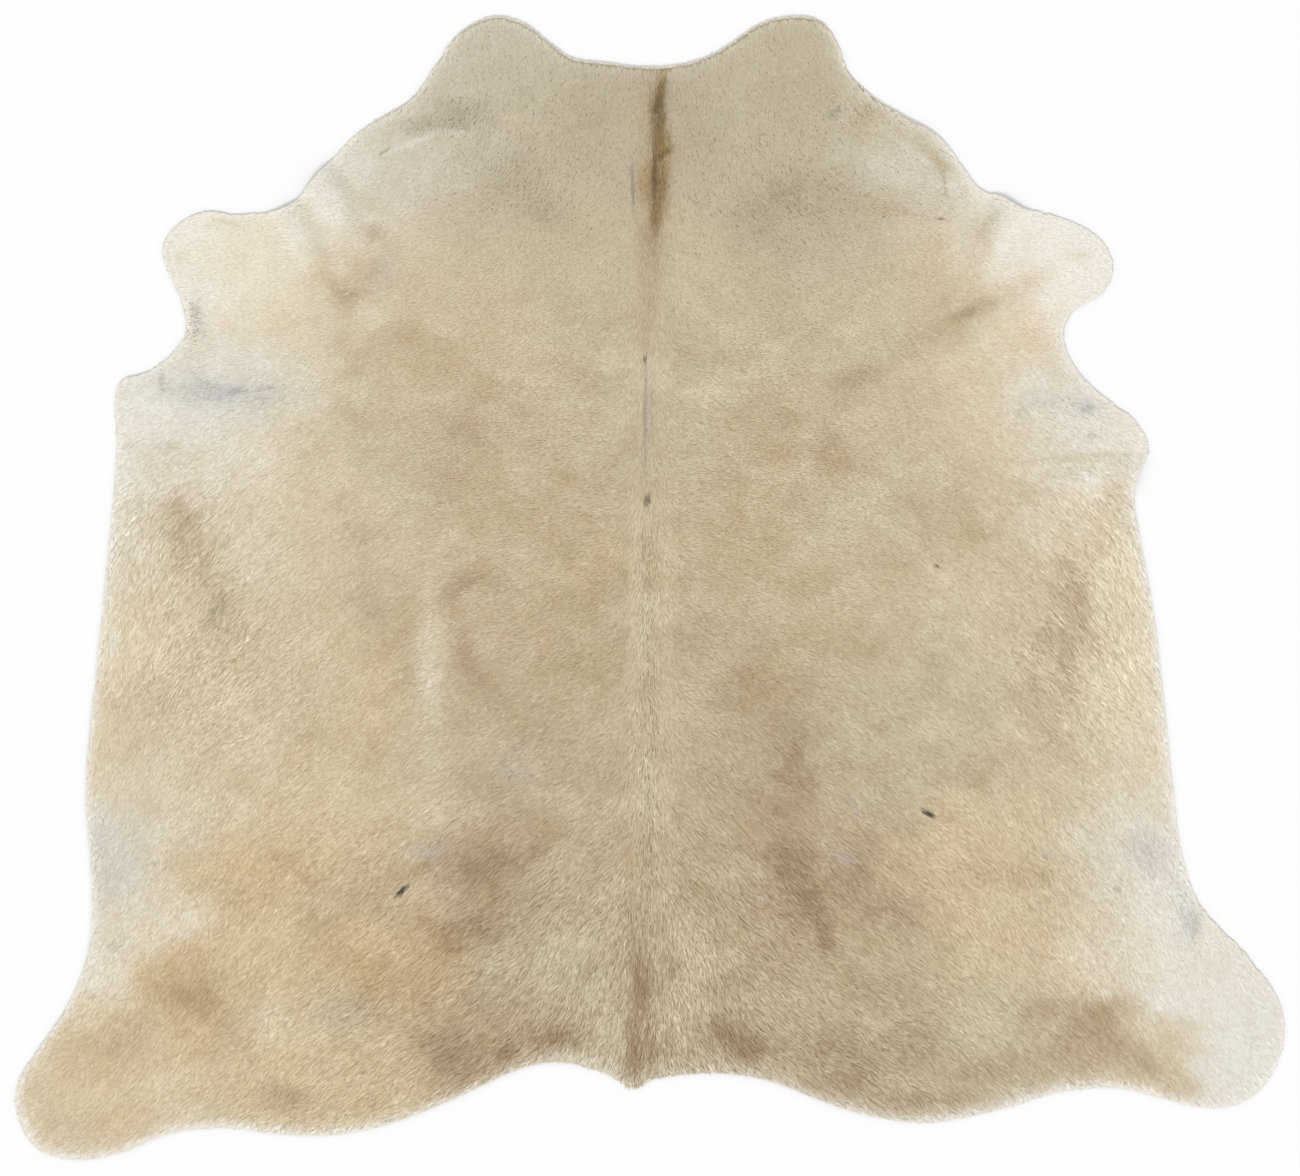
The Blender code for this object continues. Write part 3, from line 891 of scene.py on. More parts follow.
FOLDS = {
    "left shoulder roll": Fold((318, 178), (336, 212), (356, 254), 0.012, 0.048, leaves_edge=True),
    "left shoulder ripple": Fold((287, 208), (300, 228), (326, 272), 0.007, 0.036, leaves_edge=True),
    "left neck pad": Fold((372, 160), (408, 132), (482, 134), 0.003, 0.030),
    "right neck pad": Fold((842, 116), (912, 128), (950, 194), 0.004, 0.032),
    "right shoulder roll": Fold((1010, 206), (986, 236), (958, 268), 0.009, 0.044, leaves_edge=True),
    "right foreleg crease": Fold((1076, 268), (990, 318), (890, 368), 0.006, 0.050),
    "right flank ripple": Fold((1140, 474), (1084, 480), (1012, 498), 0.009, 0.044, leaves_edge=True),
    "right elbow ripple": Fold((1118, 436), (1070, 448), (1000, 452), 0.004, 0.034),
    "left elbow ripple": Fold((150, 384), (200, 404), (290, 402), 0.004, 0.036),
    "mane along the spine": Fold((646, 480), (648, 700), (645, 905), 0.0016, 0.034, coat_only=True),
    "neck tuft": Fold((661, 84), (658, 140), (653, 215), 0.0018, 0.026, coat_only=True),
}


@dataclass(frozen=True)
class Colouring:
    """The colour of the coat at any place: broad tones, then patches, then mottling.

    Lengths are in pixels of the view from above, and depths are shares of the colour. The
    brindle is a stronger mottling of the darker tones, and starts behind the neck.
    """

    wander_cell: float = 38.0
    wander: float = 14.0
    wander_share: float = 0.35
    ground_wander: float = 1.6
    mottle_cell: float = 46.0
    mottle_depth: float = 0.022
    mottle_hue: tuple[float, float, float] = (0.8, 1.0, 1.35)
    fleck_cell: float = 13.0
    fleck_depth: float = 0.016
    brindle_cell: float = 30.0
    brindle_stretch: float = 1.35
    brindle_wander: float = 1.2
    brindle_depth: float = 0.065
    brindle_green: float = 0.80
    brindle_fade: float = 0.08
    brindle_from: float = 230.0
    brindle_rise: float = 120.0
    uneven_cell: float = 18.0
    uneven_depth: float = 0.65
    uneven_most: float = 1.6
    patch_end: float = 3.0

    def ground(self, at: np.ndarray) -> np.ndarray:
        """The broad colour: every tone weighed by a bell curve of its distance.

        Args:
            at: Places in pixels, one row each.

        Returns:
            sRGB channels, one row each.
        """
        total = np.zeros((len(at), 3))
        weight = np.full(len(at), LEAST_WEIGHT)
        for row in GROUNDS:
            share = bell(at, row)
            total += share[:, None] * srgb(row.tone.value)
            weight += share
        return total / weight[:, None]

    def lay(self, colour: np.ndarray, at: np.ndarray, row: Patch, uneven: np.ndarray) -> None:
        """Lays one patch over the colour, in place.

        The cover is strength times exp(-d ** (2 firmness)), where d is the distance from the
        middle in reaches, and noise makes it uneven.

        Args:
            colour: sRGB channels, changed in place.
            at: Places in pixels, already wandered a little.
            row: The patch.
            uneven: Noise from -1 to 1 for each place.
        """
        turn = radians(row.turn)
        away = at - row.at
        along = away[:, 0] * cos(turn) - away[:, 1] * sin(turn)
        across = away[:, 0] * sin(turn) + away[:, 1] * cos(turn)
        gap = (along / row.reach[0]) ** 2 + (across / row.reach[1]) ** 2
        near = gap < self.patch_end**2
        cover = row.strength * np.exp(-(gap[near] ** row.firmness))
        unevenness = 1.0 + self.uneven_depth / row.firmness**2 * uneven[near]
        cover *= np.clip(unevenness, 0.0, self.uneven_most)
        cover = np.clip(cover, 0.0, 1.0)[:, None]
        colour[near] += cover * (srgb(row.tone.value) - colour[near])

    def brindle(self, at: np.ndarray, colour: np.ndarray, shift: np.ndarray) -> np.ndarray:
        """The mottling of the darker tones: noise, as strong as the colour there is dark.

        Args:
            at: Places in pixels.
            colour: sRGB channels there.
            shift: Noise that bends the mottling's outlines.

        Returns:
            How much lighter each place is, as a share.
        """
        dark = np.clip((self.brindle_green - colour[:, 1]) / self.brindle_fade, 0.0, 1.0)
        dark *= np.clip((at[:, 1] - self.brindle_from) / self.brindle_rise, 0.0, 1.0)
        streaked = (at + self.brindle_wander * self.wander * shift) / (self.brindle_stretch, 1.0)
        return self.brindle_depth * dark * fractal(streaked, self.brindle_cell, Seed.BRINDLE)

    def colours(self, at: np.ndarray, mixed: np.ndarray | float = 0.0) -> np.ndarray:
        """The coat's colour, in sRGB, at each place in pixels.

        Small patches wander less than wide ones, so that marks keep their shape.

        Args:
            at: Places in pixels, one row each.
            mixed: How much more or less of each patch a lock takes than its neighbours do.

        Returns:
            sRGB channels, one row each.
        """
        colour = self.ground(at + self.ground_wander * self.wandering(at, self.wander))
        shift = self.wandering(at, 1.0)
        uneven = fractal(at, self.uneven_cell, Seed.UNEVEN) + mixed
        for row in PATCHES:
            reach = min(self.wander, self.wander_share * min(row.reach))
            self.lay(colour, at + reach * shift, row, uneven)
        mottle = self.mottle_depth * fractal(at, self.mottle_cell, Seed.MOTTLE)
        mottle += self.fleck_depth * fractal(at, self.fleck_cell, Seed.FLECKS)
        mottle += self.brindle(at, colour, shift)
        return np.clip(colour * (1.0 + mottle[:, None] * self.mottle_hue), 0.0, 1.0)

    def wandering(self, at: np.ndarray, reach: float) -> np.ndarray:
        """How far noise moves each place.

        Args:
            at: Places in pixels, one row each.
            reach: About the furthest that it moves one.

        Returns:
            The moves, one row each.
        """
        across = fractal(at, self.wander_cell, Seed.WANDER_ACROSS)
        down = fractal(at, self.wander_cell, Seed.WANDER_DOWN)
        return reach * np.column_stack([across, down])


@dataclass
class CutEdge:
    """The cut edge of the hide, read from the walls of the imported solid, in metres.

    It places pixels on the hide, and knows how far inside the edge every place lies from a grid
    that is worked out once.
    """

    node: bpy.types.Object
    wall_slope: float = 0.1  # how far the normal of an upright face may rise
    decimals: int = 5  # corners that agree to so many count as one
    grid_step: float = 0.006
    margin: float = 0.06  # how far the grid reaches past the hide
    side_step: float = 0.002  # how far to either side the edge's direction is read, as a share

    def __post_init__(self) -> None:
        """Orders the edge's points round the heart, and works out the grid of distances."""
        around = self.wall_corners()
        self.low = around.min(axis=0)
        self.high = around.max(axis=0)
        self.middle = (self.low + self.high) / 2.0
        self.scale = (self.high[0] - self.low[0]) / (HIDE_BOX_HIGH[0] - HIDE_BOX_LOW[0])
        self.heart = self.place(np.array([HEART]))[0]
        away = around - self.heart
        self.points = around[np.argsort(np.arctan2(away[:, 1], away[:, 0]))]
        step = np.linalg.norm(np.roll(self.points, -1, axis=0) - self.points, axis=1)
        self.length = float(step.sum())
        self.reach = np.concatenate([[0.0], np.cumsum(step)])
        self.grid = self.distances()

    def wall_corners(self) -> np.ndarray:
        """The corners of the solid's upright faces in plan.

        Returns:
            Each corner once, one row each.
        """
        mesh = self.node.data
        corners = np.empty(len(mesh.vertices) * 3)
        mesh.vertices.foreach_get("co", corners)
        normals = np.empty(len(mesh.polygons) * 3)
        mesh.polygons.foreach_get("normal", normals)
        faces = np.empty(len(mesh.polygons) * 3, dtype=int)
        mesh.polygons.foreach_get("vertices", faces)
        upright = np.abs(normals[2::3]) < self.wall_slope
        around = corners.reshape(-1, 3)[faces.reshape(-1, 3)[upright].ravel(), :2]
        return np.unique(around.round(self.decimals), axis=0)

    def place(self, pixels: np.ndarray) -> np.ndarray:
        """Metres across and along the hide for pixels across and down."""
        return self.middle + (pixels - HIDE_BOX_MIDDLE) * self.scale * (1.0, -1.0)

    def pixels(self, points: np.ndarray) -> np.ndarray:
        """Pixels across and down for metres across and along the hide."""
        return (points - self.middle) / self.scale * (1.0, -1.0) + HIDE_BOX_MIDDLE

    def at(self, share: np.ndarray) -> np.ndarray:
        """The points at a share, from 0 to 1, of the way round the edge."""
        closed = np.vstack([self.points, self.points[:1]])
        stop = (share % 1.0) * self.length
        return np.column_stack([np.interp(stop, self.reach, closed[:, k]) for k in (0, 1)])

    def outward(self, share: np.ndarray) -> np.ndarray:
        """The directions that point straight out of the edge at each share of the way round."""
        along = self.at(share + self.side_step) - self.at(share - self.side_step)
        along /= np.linalg.norm(along, axis=1)[:, None]
        return np.column_stack([along[:, 1], -along[:, 0]])

    def area(self) -> float:
        """The area inside the edge: half the sum of x times next y less next x times y."""
        x, y = self.points.T
        return abs(float(np.sum(x * np.roll(y, -1) - np.roll(x, -1) * y))) / 2.0

    def distances(self) -> np.ndarray:
        """The distance from each grid point to the edge, and below 0 outside it.

        A row of the grid is measured against every straight stretch of the edge at once. A point
        is inside where a line from it crosses the edge an odd number of times.

        Returns:
            The distances, by row and column.
        """
        low = self.low - self.margin
        columns, rows = ((self.high + self.margin - low) / self.grid_step).astype(int) + 2
        start = self.points
        run = np.roll(start, -1, axis=0) - start
        square = (run**2).sum(axis=1)
        x = low[0] + np.arange(columns) * self.grid_step
        grid = np.empty((rows, columns))
        for row in range(rows):
            y = low[1] + row * self.grid_step
            away = np.stack(np.broadcast_arrays(x[:, None] - start[:, 0], y - start[:, 1]), axis=2)
            share = np.clip((away * run).sum(axis=2) / square, 0.0, 1.0)
            gap = np.linalg.norm(away - share[:, :, None] * run, axis=2).min(axis=1)
            crossed = (start[:, 1] > y) != (start[:, 1] + run[:, 1] > y)
            at_x = start[crossed, 0] + (y - start[crossed, 1]) / run[crossed, 1] * run[crossed, 0]
            inside = (at_x[None, :] > x[:, None]).sum(axis=1) % 2 == 1
            grid[row] = np.where(inside, gap, -gap)
        return grid

    def inside_by(self, points: np.ndarray) -> np.ndarray:
        """How far inside the edge each point lies, in metres, and below 0 outside it."""
        return read_grid(self.grid, (points - (self.low - self.margin)) / self.grid_step)


@dataclass(frozen=True)
class HairLie:
    """Which way the hair lies at any place, how long it is there, and how open and coarse.

    The mane along the spine and the dark tuft on the neck are coarser than their places are, and
    the right hind shank is sleeker. Places and reaches are in pixels, hair lengths in metres.
    """

    ruffle_cell: float = 40.0
    ruffle: float = radians(9.0)
    parting_from: float = 4.0  # straight tailwards up to here from the spine
    parting_width: float = 30.0
    sleek_length: float = 0.0075
    coarse_length: float = 0.0155
    least_coarse: float = 0.10
    most_coarse: float = 1.6
    mane_reach: float = 9.0
    mane_from: float = 430.0
    mane_full: float = 560.0
    mane_coarseness: float = 0.35
    tuft_x: float = 657.0
    tuft_reach: float = 12.0
    tuft_end: float = 290.0
    tuft_fade: float = 80.0
    shank: tuple[float, float] = (1215.0, 1005.0)
    shank_reach: float = 80.0
    shank_sleekness: float = 0.40

    def read(self, at: np.ndarray) -> tuple[np.ndarray, np.ndarray]:
        """Blends the table's rows, each weighed by a bell curve of its distance.

        Args:
            at: Places in pixels, one row each.

        Returns:
            The directions in metres, one row each, and the lengths.
        """
        side = np.where(at[:, 0] < SPINE_X, -1.0, 1.0)
        away = np.abs(at[:, 0] - SPINE_X)
        left = np.column_stack([SPINE_X - away, at[:, 1]])
        outward = np.zeros(len(at))
        length = np.zeros(len(at))
        weight = np.full(len(at), LEAST_WEIGHT)
        for row in LIES:
            share = bell(left, row)
            outward += share * radians(row.outward)
            length += share * row.length
            weight += share
        parting = np.clip((away - self.parting_from) / self.parting_width, 0.0, 1.0)
        angle = side * parting * outward / weight
        angle += self.ruffle * fractal(at, self.ruffle_cell, Seed.RUFFLE)
        return np.column_stack([np.sin(angle), -np.cos(angle)]), length / weight

    def mane(self, at: np.ndarray) -> np.ndarray:
        """How much coarse hair of the mane and of the dark tuft on the neck grows at each place.

        Args:
            at: Places in pixels, one row each.

        Returns:
            0 for none to 1 for all.
        """
        along = np.clip((at[:, 1] - self.mane_from) / (self.mane_full - self.mane_from), 0.0, 1.0)
        mane = along * np.exp(-(((at[:, 0] - SPINE_X) / self.mane_reach) ** 2))
        along = np.clip((self.tuft_end - at[:, 1]) / self.tuft_fade, 0.0, 1.0)
        return mane + along * np.exp(-(((at[:, 0] - self.tuft_x) / self.tuft_reach) ** 2))

    def coarseness(self, at: np.ndarray) -> np.ndarray:
        """How open and coarse the coat is at each place, which goes by its length.

        Args:
            at: Places in pixels, one row each.

        Returns:
            Near 0 where it is short and sleek, 1 where it is long, and more in the mane.
        """
        _, length = self.read(at)
        coarse = (length - self.sleek_length) / (self.coarse_length - self.sleek_length)
        away = ((at - self.shank) ** 2).sum(axis=1) / self.shank_reach**2
        coarse -= self.shank_sleekness * np.exp(-away)
        coarse = np.clip(coarse, self.least_coarse, self.most_coarse)
        return coarse + self.mane_coarseness * self.mane(at)


@dataclass
class Relief:
    """The heights of the leather and of the coat over the floor, on the solid's folds."""

    edge: CutEdge
    lie: HairLie
    steps_per_fold: int = 40
    grid_step: float = 0.005
    sleek_underfur: float = 0.78
    coarse_underfur: float = 0.12

    def __post_init__(self) -> None:
        """Works out on a grid what the folds add to the leather, and what to the coat alone."""
        self.low = self.edge.low - self.edge.margin
        size = (self.edge.high + self.edge.margin - self.low) / self.grid_step
        columns, rows = size.astype(int) + 2
        y, x = np.mgrid[0:rows, 0:columns]
        points = self.low + np.column_stack([x.ravel(), y.ravel()]) * self.grid_step
        self.leather_lift = self.folded(points, coat_only=False).reshape(rows, columns)
        self.coat_lift = self.folded(points, coat_only=True).reshape(rows, columns)

    def folded(self, points: np.ndarray, coat_only: bool) -> np.ndarray:
        """What the folds of one sort add: rise times fade times (1 - across squared) squared.

        Across is the distance from the crest in half widths. The crest is a curve of the second
        degree from start to end, pulled through the bend. The fade is half a sine wave along the
        crest, or a quarter of one where the fold runs out over the edge.

        Args:
            points: Places in metres.
            coat_only: Which folds to add up.

        Returns:
            The height at each point.
        """
        total = np.zeros(len(points))
        t = np.linspace(0.0, 1.0, self.steps_per_fold)[:, None]
        for fold in FOLDS.values():
            if fold.coat_only != coat_only:
                continue
            start, bend, end = self.edge.place(np.array([fold.start, fold.bend, fold.end]))
            pull = 2.0 * bend - (start + end) / 2.0
            crest = (1 - t) ** 2 * start + 2 * t * (1 - t) * pull + t**2 * end
            box_low = crest.min(axis=0) - fold.half_width
            box_high = crest.max(axis=0) + fold.half_width
            near = np.nonzero(((points > box_low) & (points < box_high)).all(axis=1))[0]
            gaps = np.linalg.norm(points[near, None, :] - crest[None, :, :], axis=2)
            across = np.clip(gaps.min(axis=1) / fold.half_width, 0.0, 1.0)
            along = gaps.argmin(axis=1) / (self.steps_per_fold - 1)
            fade = np.sin(np.pi * (0.5 + 0.5 * along if fold.leaves_edge else along))
            total[near] += fold.rise * fade * (1.0 - across**2) ** 2
        return total

    def read(self, grid: np.ndarray, points: np.ndarray) -> np.ndarray:
        """The grid's value at each point, in metres."""
        return read_grid(grid, (points - self.low) / self.grid_step)

    def thickness(self, points: np.ndarray) -> np.ndarray:
        """Leather and coat together: thick along the spine, thinner towards belly and legs."""
        away = points[:, 0] / BACK_HALF_WIDTH
        return BELLY_THICKNESS + (BACK_THICKNESS - BELLY_THICKNESS) * np.exp(-(away**2))

    def under(self, points: np.ndarray) -> np.ndarray:
        """The height of the leather's underside."""
        return self.read(self.leather_lift, points)

    def leather(self, points: np.ndarray) -> np.ndarray:
        """The thickness of the leather alone."""
        return LEATHER_SHARE * self.thickness(points)

    def coat(self, points: np.ndarray) -> np.ndarray:
        """The depth of the coat over the leather."""
        return (1.0 - LEATHER_SHARE) * self.thickness(points) + self.read(self.coat_lift, points)

    def underfur(self, points: np.ndarray) -> np.ndarray:
        """The depth of the dense short hair that the locks lie on: most of the coat where it is
        sleek, and little of it where it is coarse and open.
        """
        coarse = np.clip(self.lie.coarseness(self.edge.pixels(points)), 0.0, 1.0)
        share = between(self.sleek_underfur, self.coarse_underfur, coarse)
        return share * self.coat(points)


def new_mesh(name: str, corners: np.ndarray, faces: np.ndarray) -> bpy.types.Mesh:
    """A mesh from arrays.

    Args:
        name: The mesh's name.
        corners: The vertices, one row each.
        faces: Vertex numbers, one row for each face, all with the same number of corners.

    Returns:
        The mesh, shaded smooth.
    """
    mesh = bpy.data.meshes.new(name)
    mesh.vertices.add(len(corners))
    mesh.vertices.foreach_set("co", corners.astype(np.float32).ravel())
    mesh.loops.add(faces.size)
    mesh.loops.foreach_set("vertex_index", faces.astype(np.int32).ravel())
    mesh.polygons.add(len(faces))
    starts = np.arange(0, faces.size, faces.shape[1], dtype=np.int32)
    mesh.polygons.foreach_set("loop_start", starts)
    mesh.update(calc_edges=True)
    mesh.shade_smooth()
    return mesh


def grid_faces(cells: int) -> np.ndarray:
    """The faces of a square grid of cells by cells, anticlockwise from above."""
    number = np.arange((cells + 1) ** 2).reshape(cells + 1, cells + 1)
    corners = [number[:-1, :-1], number[:-1, 1:], number[1:, 1:], number[1:, :-1]]
    return np.stack(corners, axis=2).reshape(-1, 4)


def add_uv(mesh: bpy.types.Mesh, name: str, uv: np.ndarray) -> None:
    """Adds a UV map.

    Args:
        mesh: The mesh.
        name: The map's name.
        uv: One row for each corner of each face.
    """
    layer = mesh.uv_layers.new(name=name)
    layer.uv.foreach_set("vector", uv.astype(np.float32).ravel())


def add_tint(mesh: bpy.types.Mesh, colour: np.ndarray, streaked: np.ndarray | float = 1.0) -> None:
    """Adds the tint that the materials read, in linear light.

    Pale hairs pass light on to one another more than dark ones do, so pale tints are lowered
    and dark ones raised: each is multiplied by TINT_GAIN and by its brightness to TINT_POWER.

    Args:
        mesh: The mesh.
        colour: sRGB channels, one row for each vertex.
        streaked: How streaked the hair is there, for the fourth channel.
    """
    channels = np.ones((len(colour), 4), dtype=np.float32)
    light = linear(np.clip(colour, 0.0, 1.0))
    bright = np.maximum(light.mean(axis=1, keepdims=True), TINT_DARKEST)
    channels[:, :3] = light * TINT_GAIN * bright**TINT_POWER
    channels[:, 3] = streaked
    layer = mesh.color_attributes.new(name="tint", type="FLOAT_COLOR", domain="POINT")
    layer.data.foreach_set("color", channels.ravel())


def set_node(tree: bpy.types.NodeTree, node: bpy.types.Node, settings: dict, links: dict) -> None:
    """Gives a node its settings and links.

    Args:
        tree: The material's node tree.
        node: The node.
        settings: Values by name, each the node's own property or else one of its inputs.
        links: For each input, the output that feeds it.
    """
    for name, value in settings.items():
        if isinstance(name, str) and hasattr(node, name):
            setattr(node, name, value)
        else:
            node.inputs[name].default_value = value
    for name, output in links.items():
        tree.links.new(output, node.inputs[name])


def add_node(tree: bpy.types.NodeTree, kind: str, settings: dict, links: dict) -> bpy.types.Node:
    """Adds a node with its settings and links.

    Args:
        tree: The material's node tree.
        kind: The node's type.
        settings: As in set_node.
        links: As in set_node.

    Returns:
        The node.
    """
    node = tree.nodes.new(kind)
    set_node(tree, node, settings, links)
    return node


def new_material(name: str) -> tuple[bpy.types.Material, bpy.types.NodeTree, bpy.types.Node]:
    """A material by name, its node tree and its shader."""
    material = bpy.data.materials.new(name)
    material.use_nodes = True
    return material, material.node_tree, material.node_tree.nodes["Principled BSDF"]


@dataclass(frozen=True)
class GrownHair:
    """Cow hair, grown, washed and brushed flat.

    Each hair is a glossy fibre, and together they give a soft sheen that follows the lie of the
    coat. Real hair is 0.05 mm across, too fine to show, so the streaks are drawn 1.5 mm wide.
    Hairs shade one another, so each is lighter, by the lift, than the coat looks.
    """

    roughness: float = 0.58
    specular: float = 0.32
    sheen: float = 0.22
    sheen_roughness: float = 0.45
    streak_width: float = 0.0015
    streak_length: float = 0.016
    streak_depth: float = 0.22
    lift: float = 1.08
    bump_strength: float = 0.5
    bump_height: float = 0.0002

    def material(self) -> bpy.types.Material:
        """The tint of each lock, streaked along its hairs in colour and in bump.

        Returns:
            The material.
        """
        material, tree, shader = new_material("cow_hair_brushed_flat")
        tint = add_node(tree, "ShaderNodeVertexColor", {"layer_name": "tint"}, {})
        strand = add_node(tree, "ShaderNodeUVMap", {"uv_map": "Strand"}, {})
        per_streak = (1.0 / self.streak_width, 1.0 / self.streak_length, 0.0)
        stretch = add_node(
            tree, "ShaderNodeVectorMath", {"operation": "MULTIPLY", 1: per_streak},
            {0: strand.outputs["UV"]},
        )
        streaks = add_node(
            tree, "ShaderNodeTexNoise", {"noise_dimensions": "2D", "Scale": 1.0, "Detail": 2.0},
            {"Vector": stretch.outputs["Vector"]},
        )
        shade = add_node(
            tree, "ShaderNodeMapRange",
            {"From Min": TEXTURE_LOW, "From Max": TEXTURE_HIGH, "To Min": -1.0, "To Max": 1.0},
            {"Value": streaks.outputs["Fac"]},
        )
        local = add_node(
            tree, "ShaderNodeMath", {"operation": "MULTIPLY"},
            {0: shade.outputs["Result"], 1: tint.outputs["Alpha"]},
        )
        change = [self.lift * self.streak_depth * channel for channel in HAIR_CHANGE]
        light = add_node(
            tree, "ShaderNodeVectorMath",
            {"operation": "MULTIPLY_ADD", 1: change, 2: (self.lift, self.lift, self.lift)},
            {0: local.outputs["Value"]},
        )
        colour = add_node(
            tree, "ShaderNodeVectorMath", {"operation": "MULTIPLY"},
            {0: tint.outputs["Color"], 1: light.outputs["Vector"]},
        )
        bump = add_node(
            tree, "ShaderNodeBump", {"Strength": self.bump_strength, "Distance": self.bump_height},
            {"Height": streaks.outputs["Fac"]},
        )
        set_node(
            tree, shader,
            {
                "Roughness": self.roughness, "Specular IOR Level": self.specular,
                "Sheen Weight": self.sheen, "Sheen Roughness": self.sheen_roughness,
            },
            {"Base Color": colour.outputs["Vector"], "Normal": bump.outputs["Normal"]},
        )
        return material


@dataclass(frozen=True)
class GrainSkin:
    """The grain side of tanned cowhide with its dense underfur: dull, in the coat's own colour.

    Locks shade it, so it is a little darker than they are, and its pores make it uneven. Real
    pores are 0.1 mm wide, too fine to show, so they are drawn 1.8 mm apart.
    """

    roughness: float = 0.75
    shade: float = 0.92
    pore_size: float = 0.0018
    pore_depth: float = 0.2
    bump_strength: float = 0.4
    bump_height: float = 0.0003

    def material(self) -> bpy.types.Material:
        """The tint of the place, a little darker, with the pores of the grain.

        Returns:
            The material.
        """
        material, tree, shader = new_material("cowhide_grain_tanned")
        tint = add_node(tree, "ShaderNodeVertexColor", {"layer_name": "tint"}, {})
        place = add_node(tree, "ShaderNodeTexCoord", {}, {})
        pores = add_node(
            tree, "ShaderNodeTexNoise", {"Scale": 1.0 / self.pore_size, "Detail": 3.0},
            {"Vector": place.outputs["Object"]},
        )
        shade = add_node(
            tree, "ShaderNodeMapRange",
            {
                "From Min": TEXTURE_LOW, "From Max": TEXTURE_HIGH,
                "To Min": self.shade * (1.0 - self.pore_depth),
                "To Max": self.shade * (1.0 + self.pore_depth),
            },
            {"Value": pores.outputs["Fac"]},
        )
        colour = add_node(
            tree, "ShaderNodeVectorMath", {"operation": "SCALE"},
            {"Vector": tint.outputs["Color"], "Scale": shade.outputs["Result"]},
        )
        bump = add_node(
            tree, "ShaderNodeBump", {"Strength": self.bump_strength, "Distance": self.bump_height},
            {"Height": pores.outputs["Fac"]},
        )
        set_node(
            tree, shader, {"Roughness": self.roughness},
            {"Base Color": colour.outputs["Vector"], "Normal": bump.outputs["Normal"]},
        )
        return material


@dataclass(frozen=True)
class SuedeBack:
    """The flesh side of chrome-tanned cowhide, sanded to a short nap: pale, dull and cloudy.

    The nap's fibres are 0.1 mm apart, too fine to show, so its grain is drawn 1.2 mm wide.
    """

    roughness: float = 0.95
    sheen: float = 0.25
    pale: str = "#ddd6c6"
    deep: str = "#c3b9a4"
    cloud_size: float = 0.09
    nap_size: float = 0.0012
    nap_share: float = 0.35
    blend_low: float = 0.45
    blend_high: float = 0.95
    bump_strength: float = 0.6
    bump_height: float = 0.0004

    def material(self) -> bpy.types.Material:
        """Two pale tones in clouds, with the nap's fine grain in colour and bump.

        Returns:
            The material.
        """
        material, tree, shader = new_material("cowhide_suede_sanded")
        place = add_node(tree, "ShaderNodeTexCoord", {}, {})
        clouds = add_node(
            tree, "ShaderNodeTexNoise", {"Scale": 1.0 / self.cloud_size, "Detail": 4.0},
            {"Vector": place.outputs["Object"]},
        )
        nap = add_node(
            tree, "ShaderNodeTexNoise", {"Scale": 1.0 / self.nap_size, "Detail": 3.0},
            {"Vector": place.outputs["Object"]},
        )
        blend = add_node(
            tree, "ShaderNodeMath", {"operation": "MULTIPLY_ADD", 1: self.nap_share},
            {0: nap.outputs["Fac"], 2: clouds.outputs["Fac"]},
        )
        spread = add_node(
            tree, "ShaderNodeMapRange", {"From Min": self.blend_low, "From Max": self.blend_high},
            {"Value": blend.outputs["Value"]},
        )
        colour = add_node(
            tree, "ShaderNodeMix",
            {"data_type": "RGBA", 6: linear_rgba(self.pale), 7: linear_rgba(self.deep)},
            {0: spread.outputs["Result"]},
        )
        bump = add_node(
            tree, "ShaderNodeBump", {"Strength": self.bump_strength, "Distance": self.bump_height},
            {"Height": nap.outputs["Fac"]},
        )
        set_node(
            tree, shader, {"Roughness": self.roughness, "Sheen Weight": self.sheen},
            {"Base Color": colour.outputs[2], "Normal": bump.outputs["Normal"]},
        )
        return material


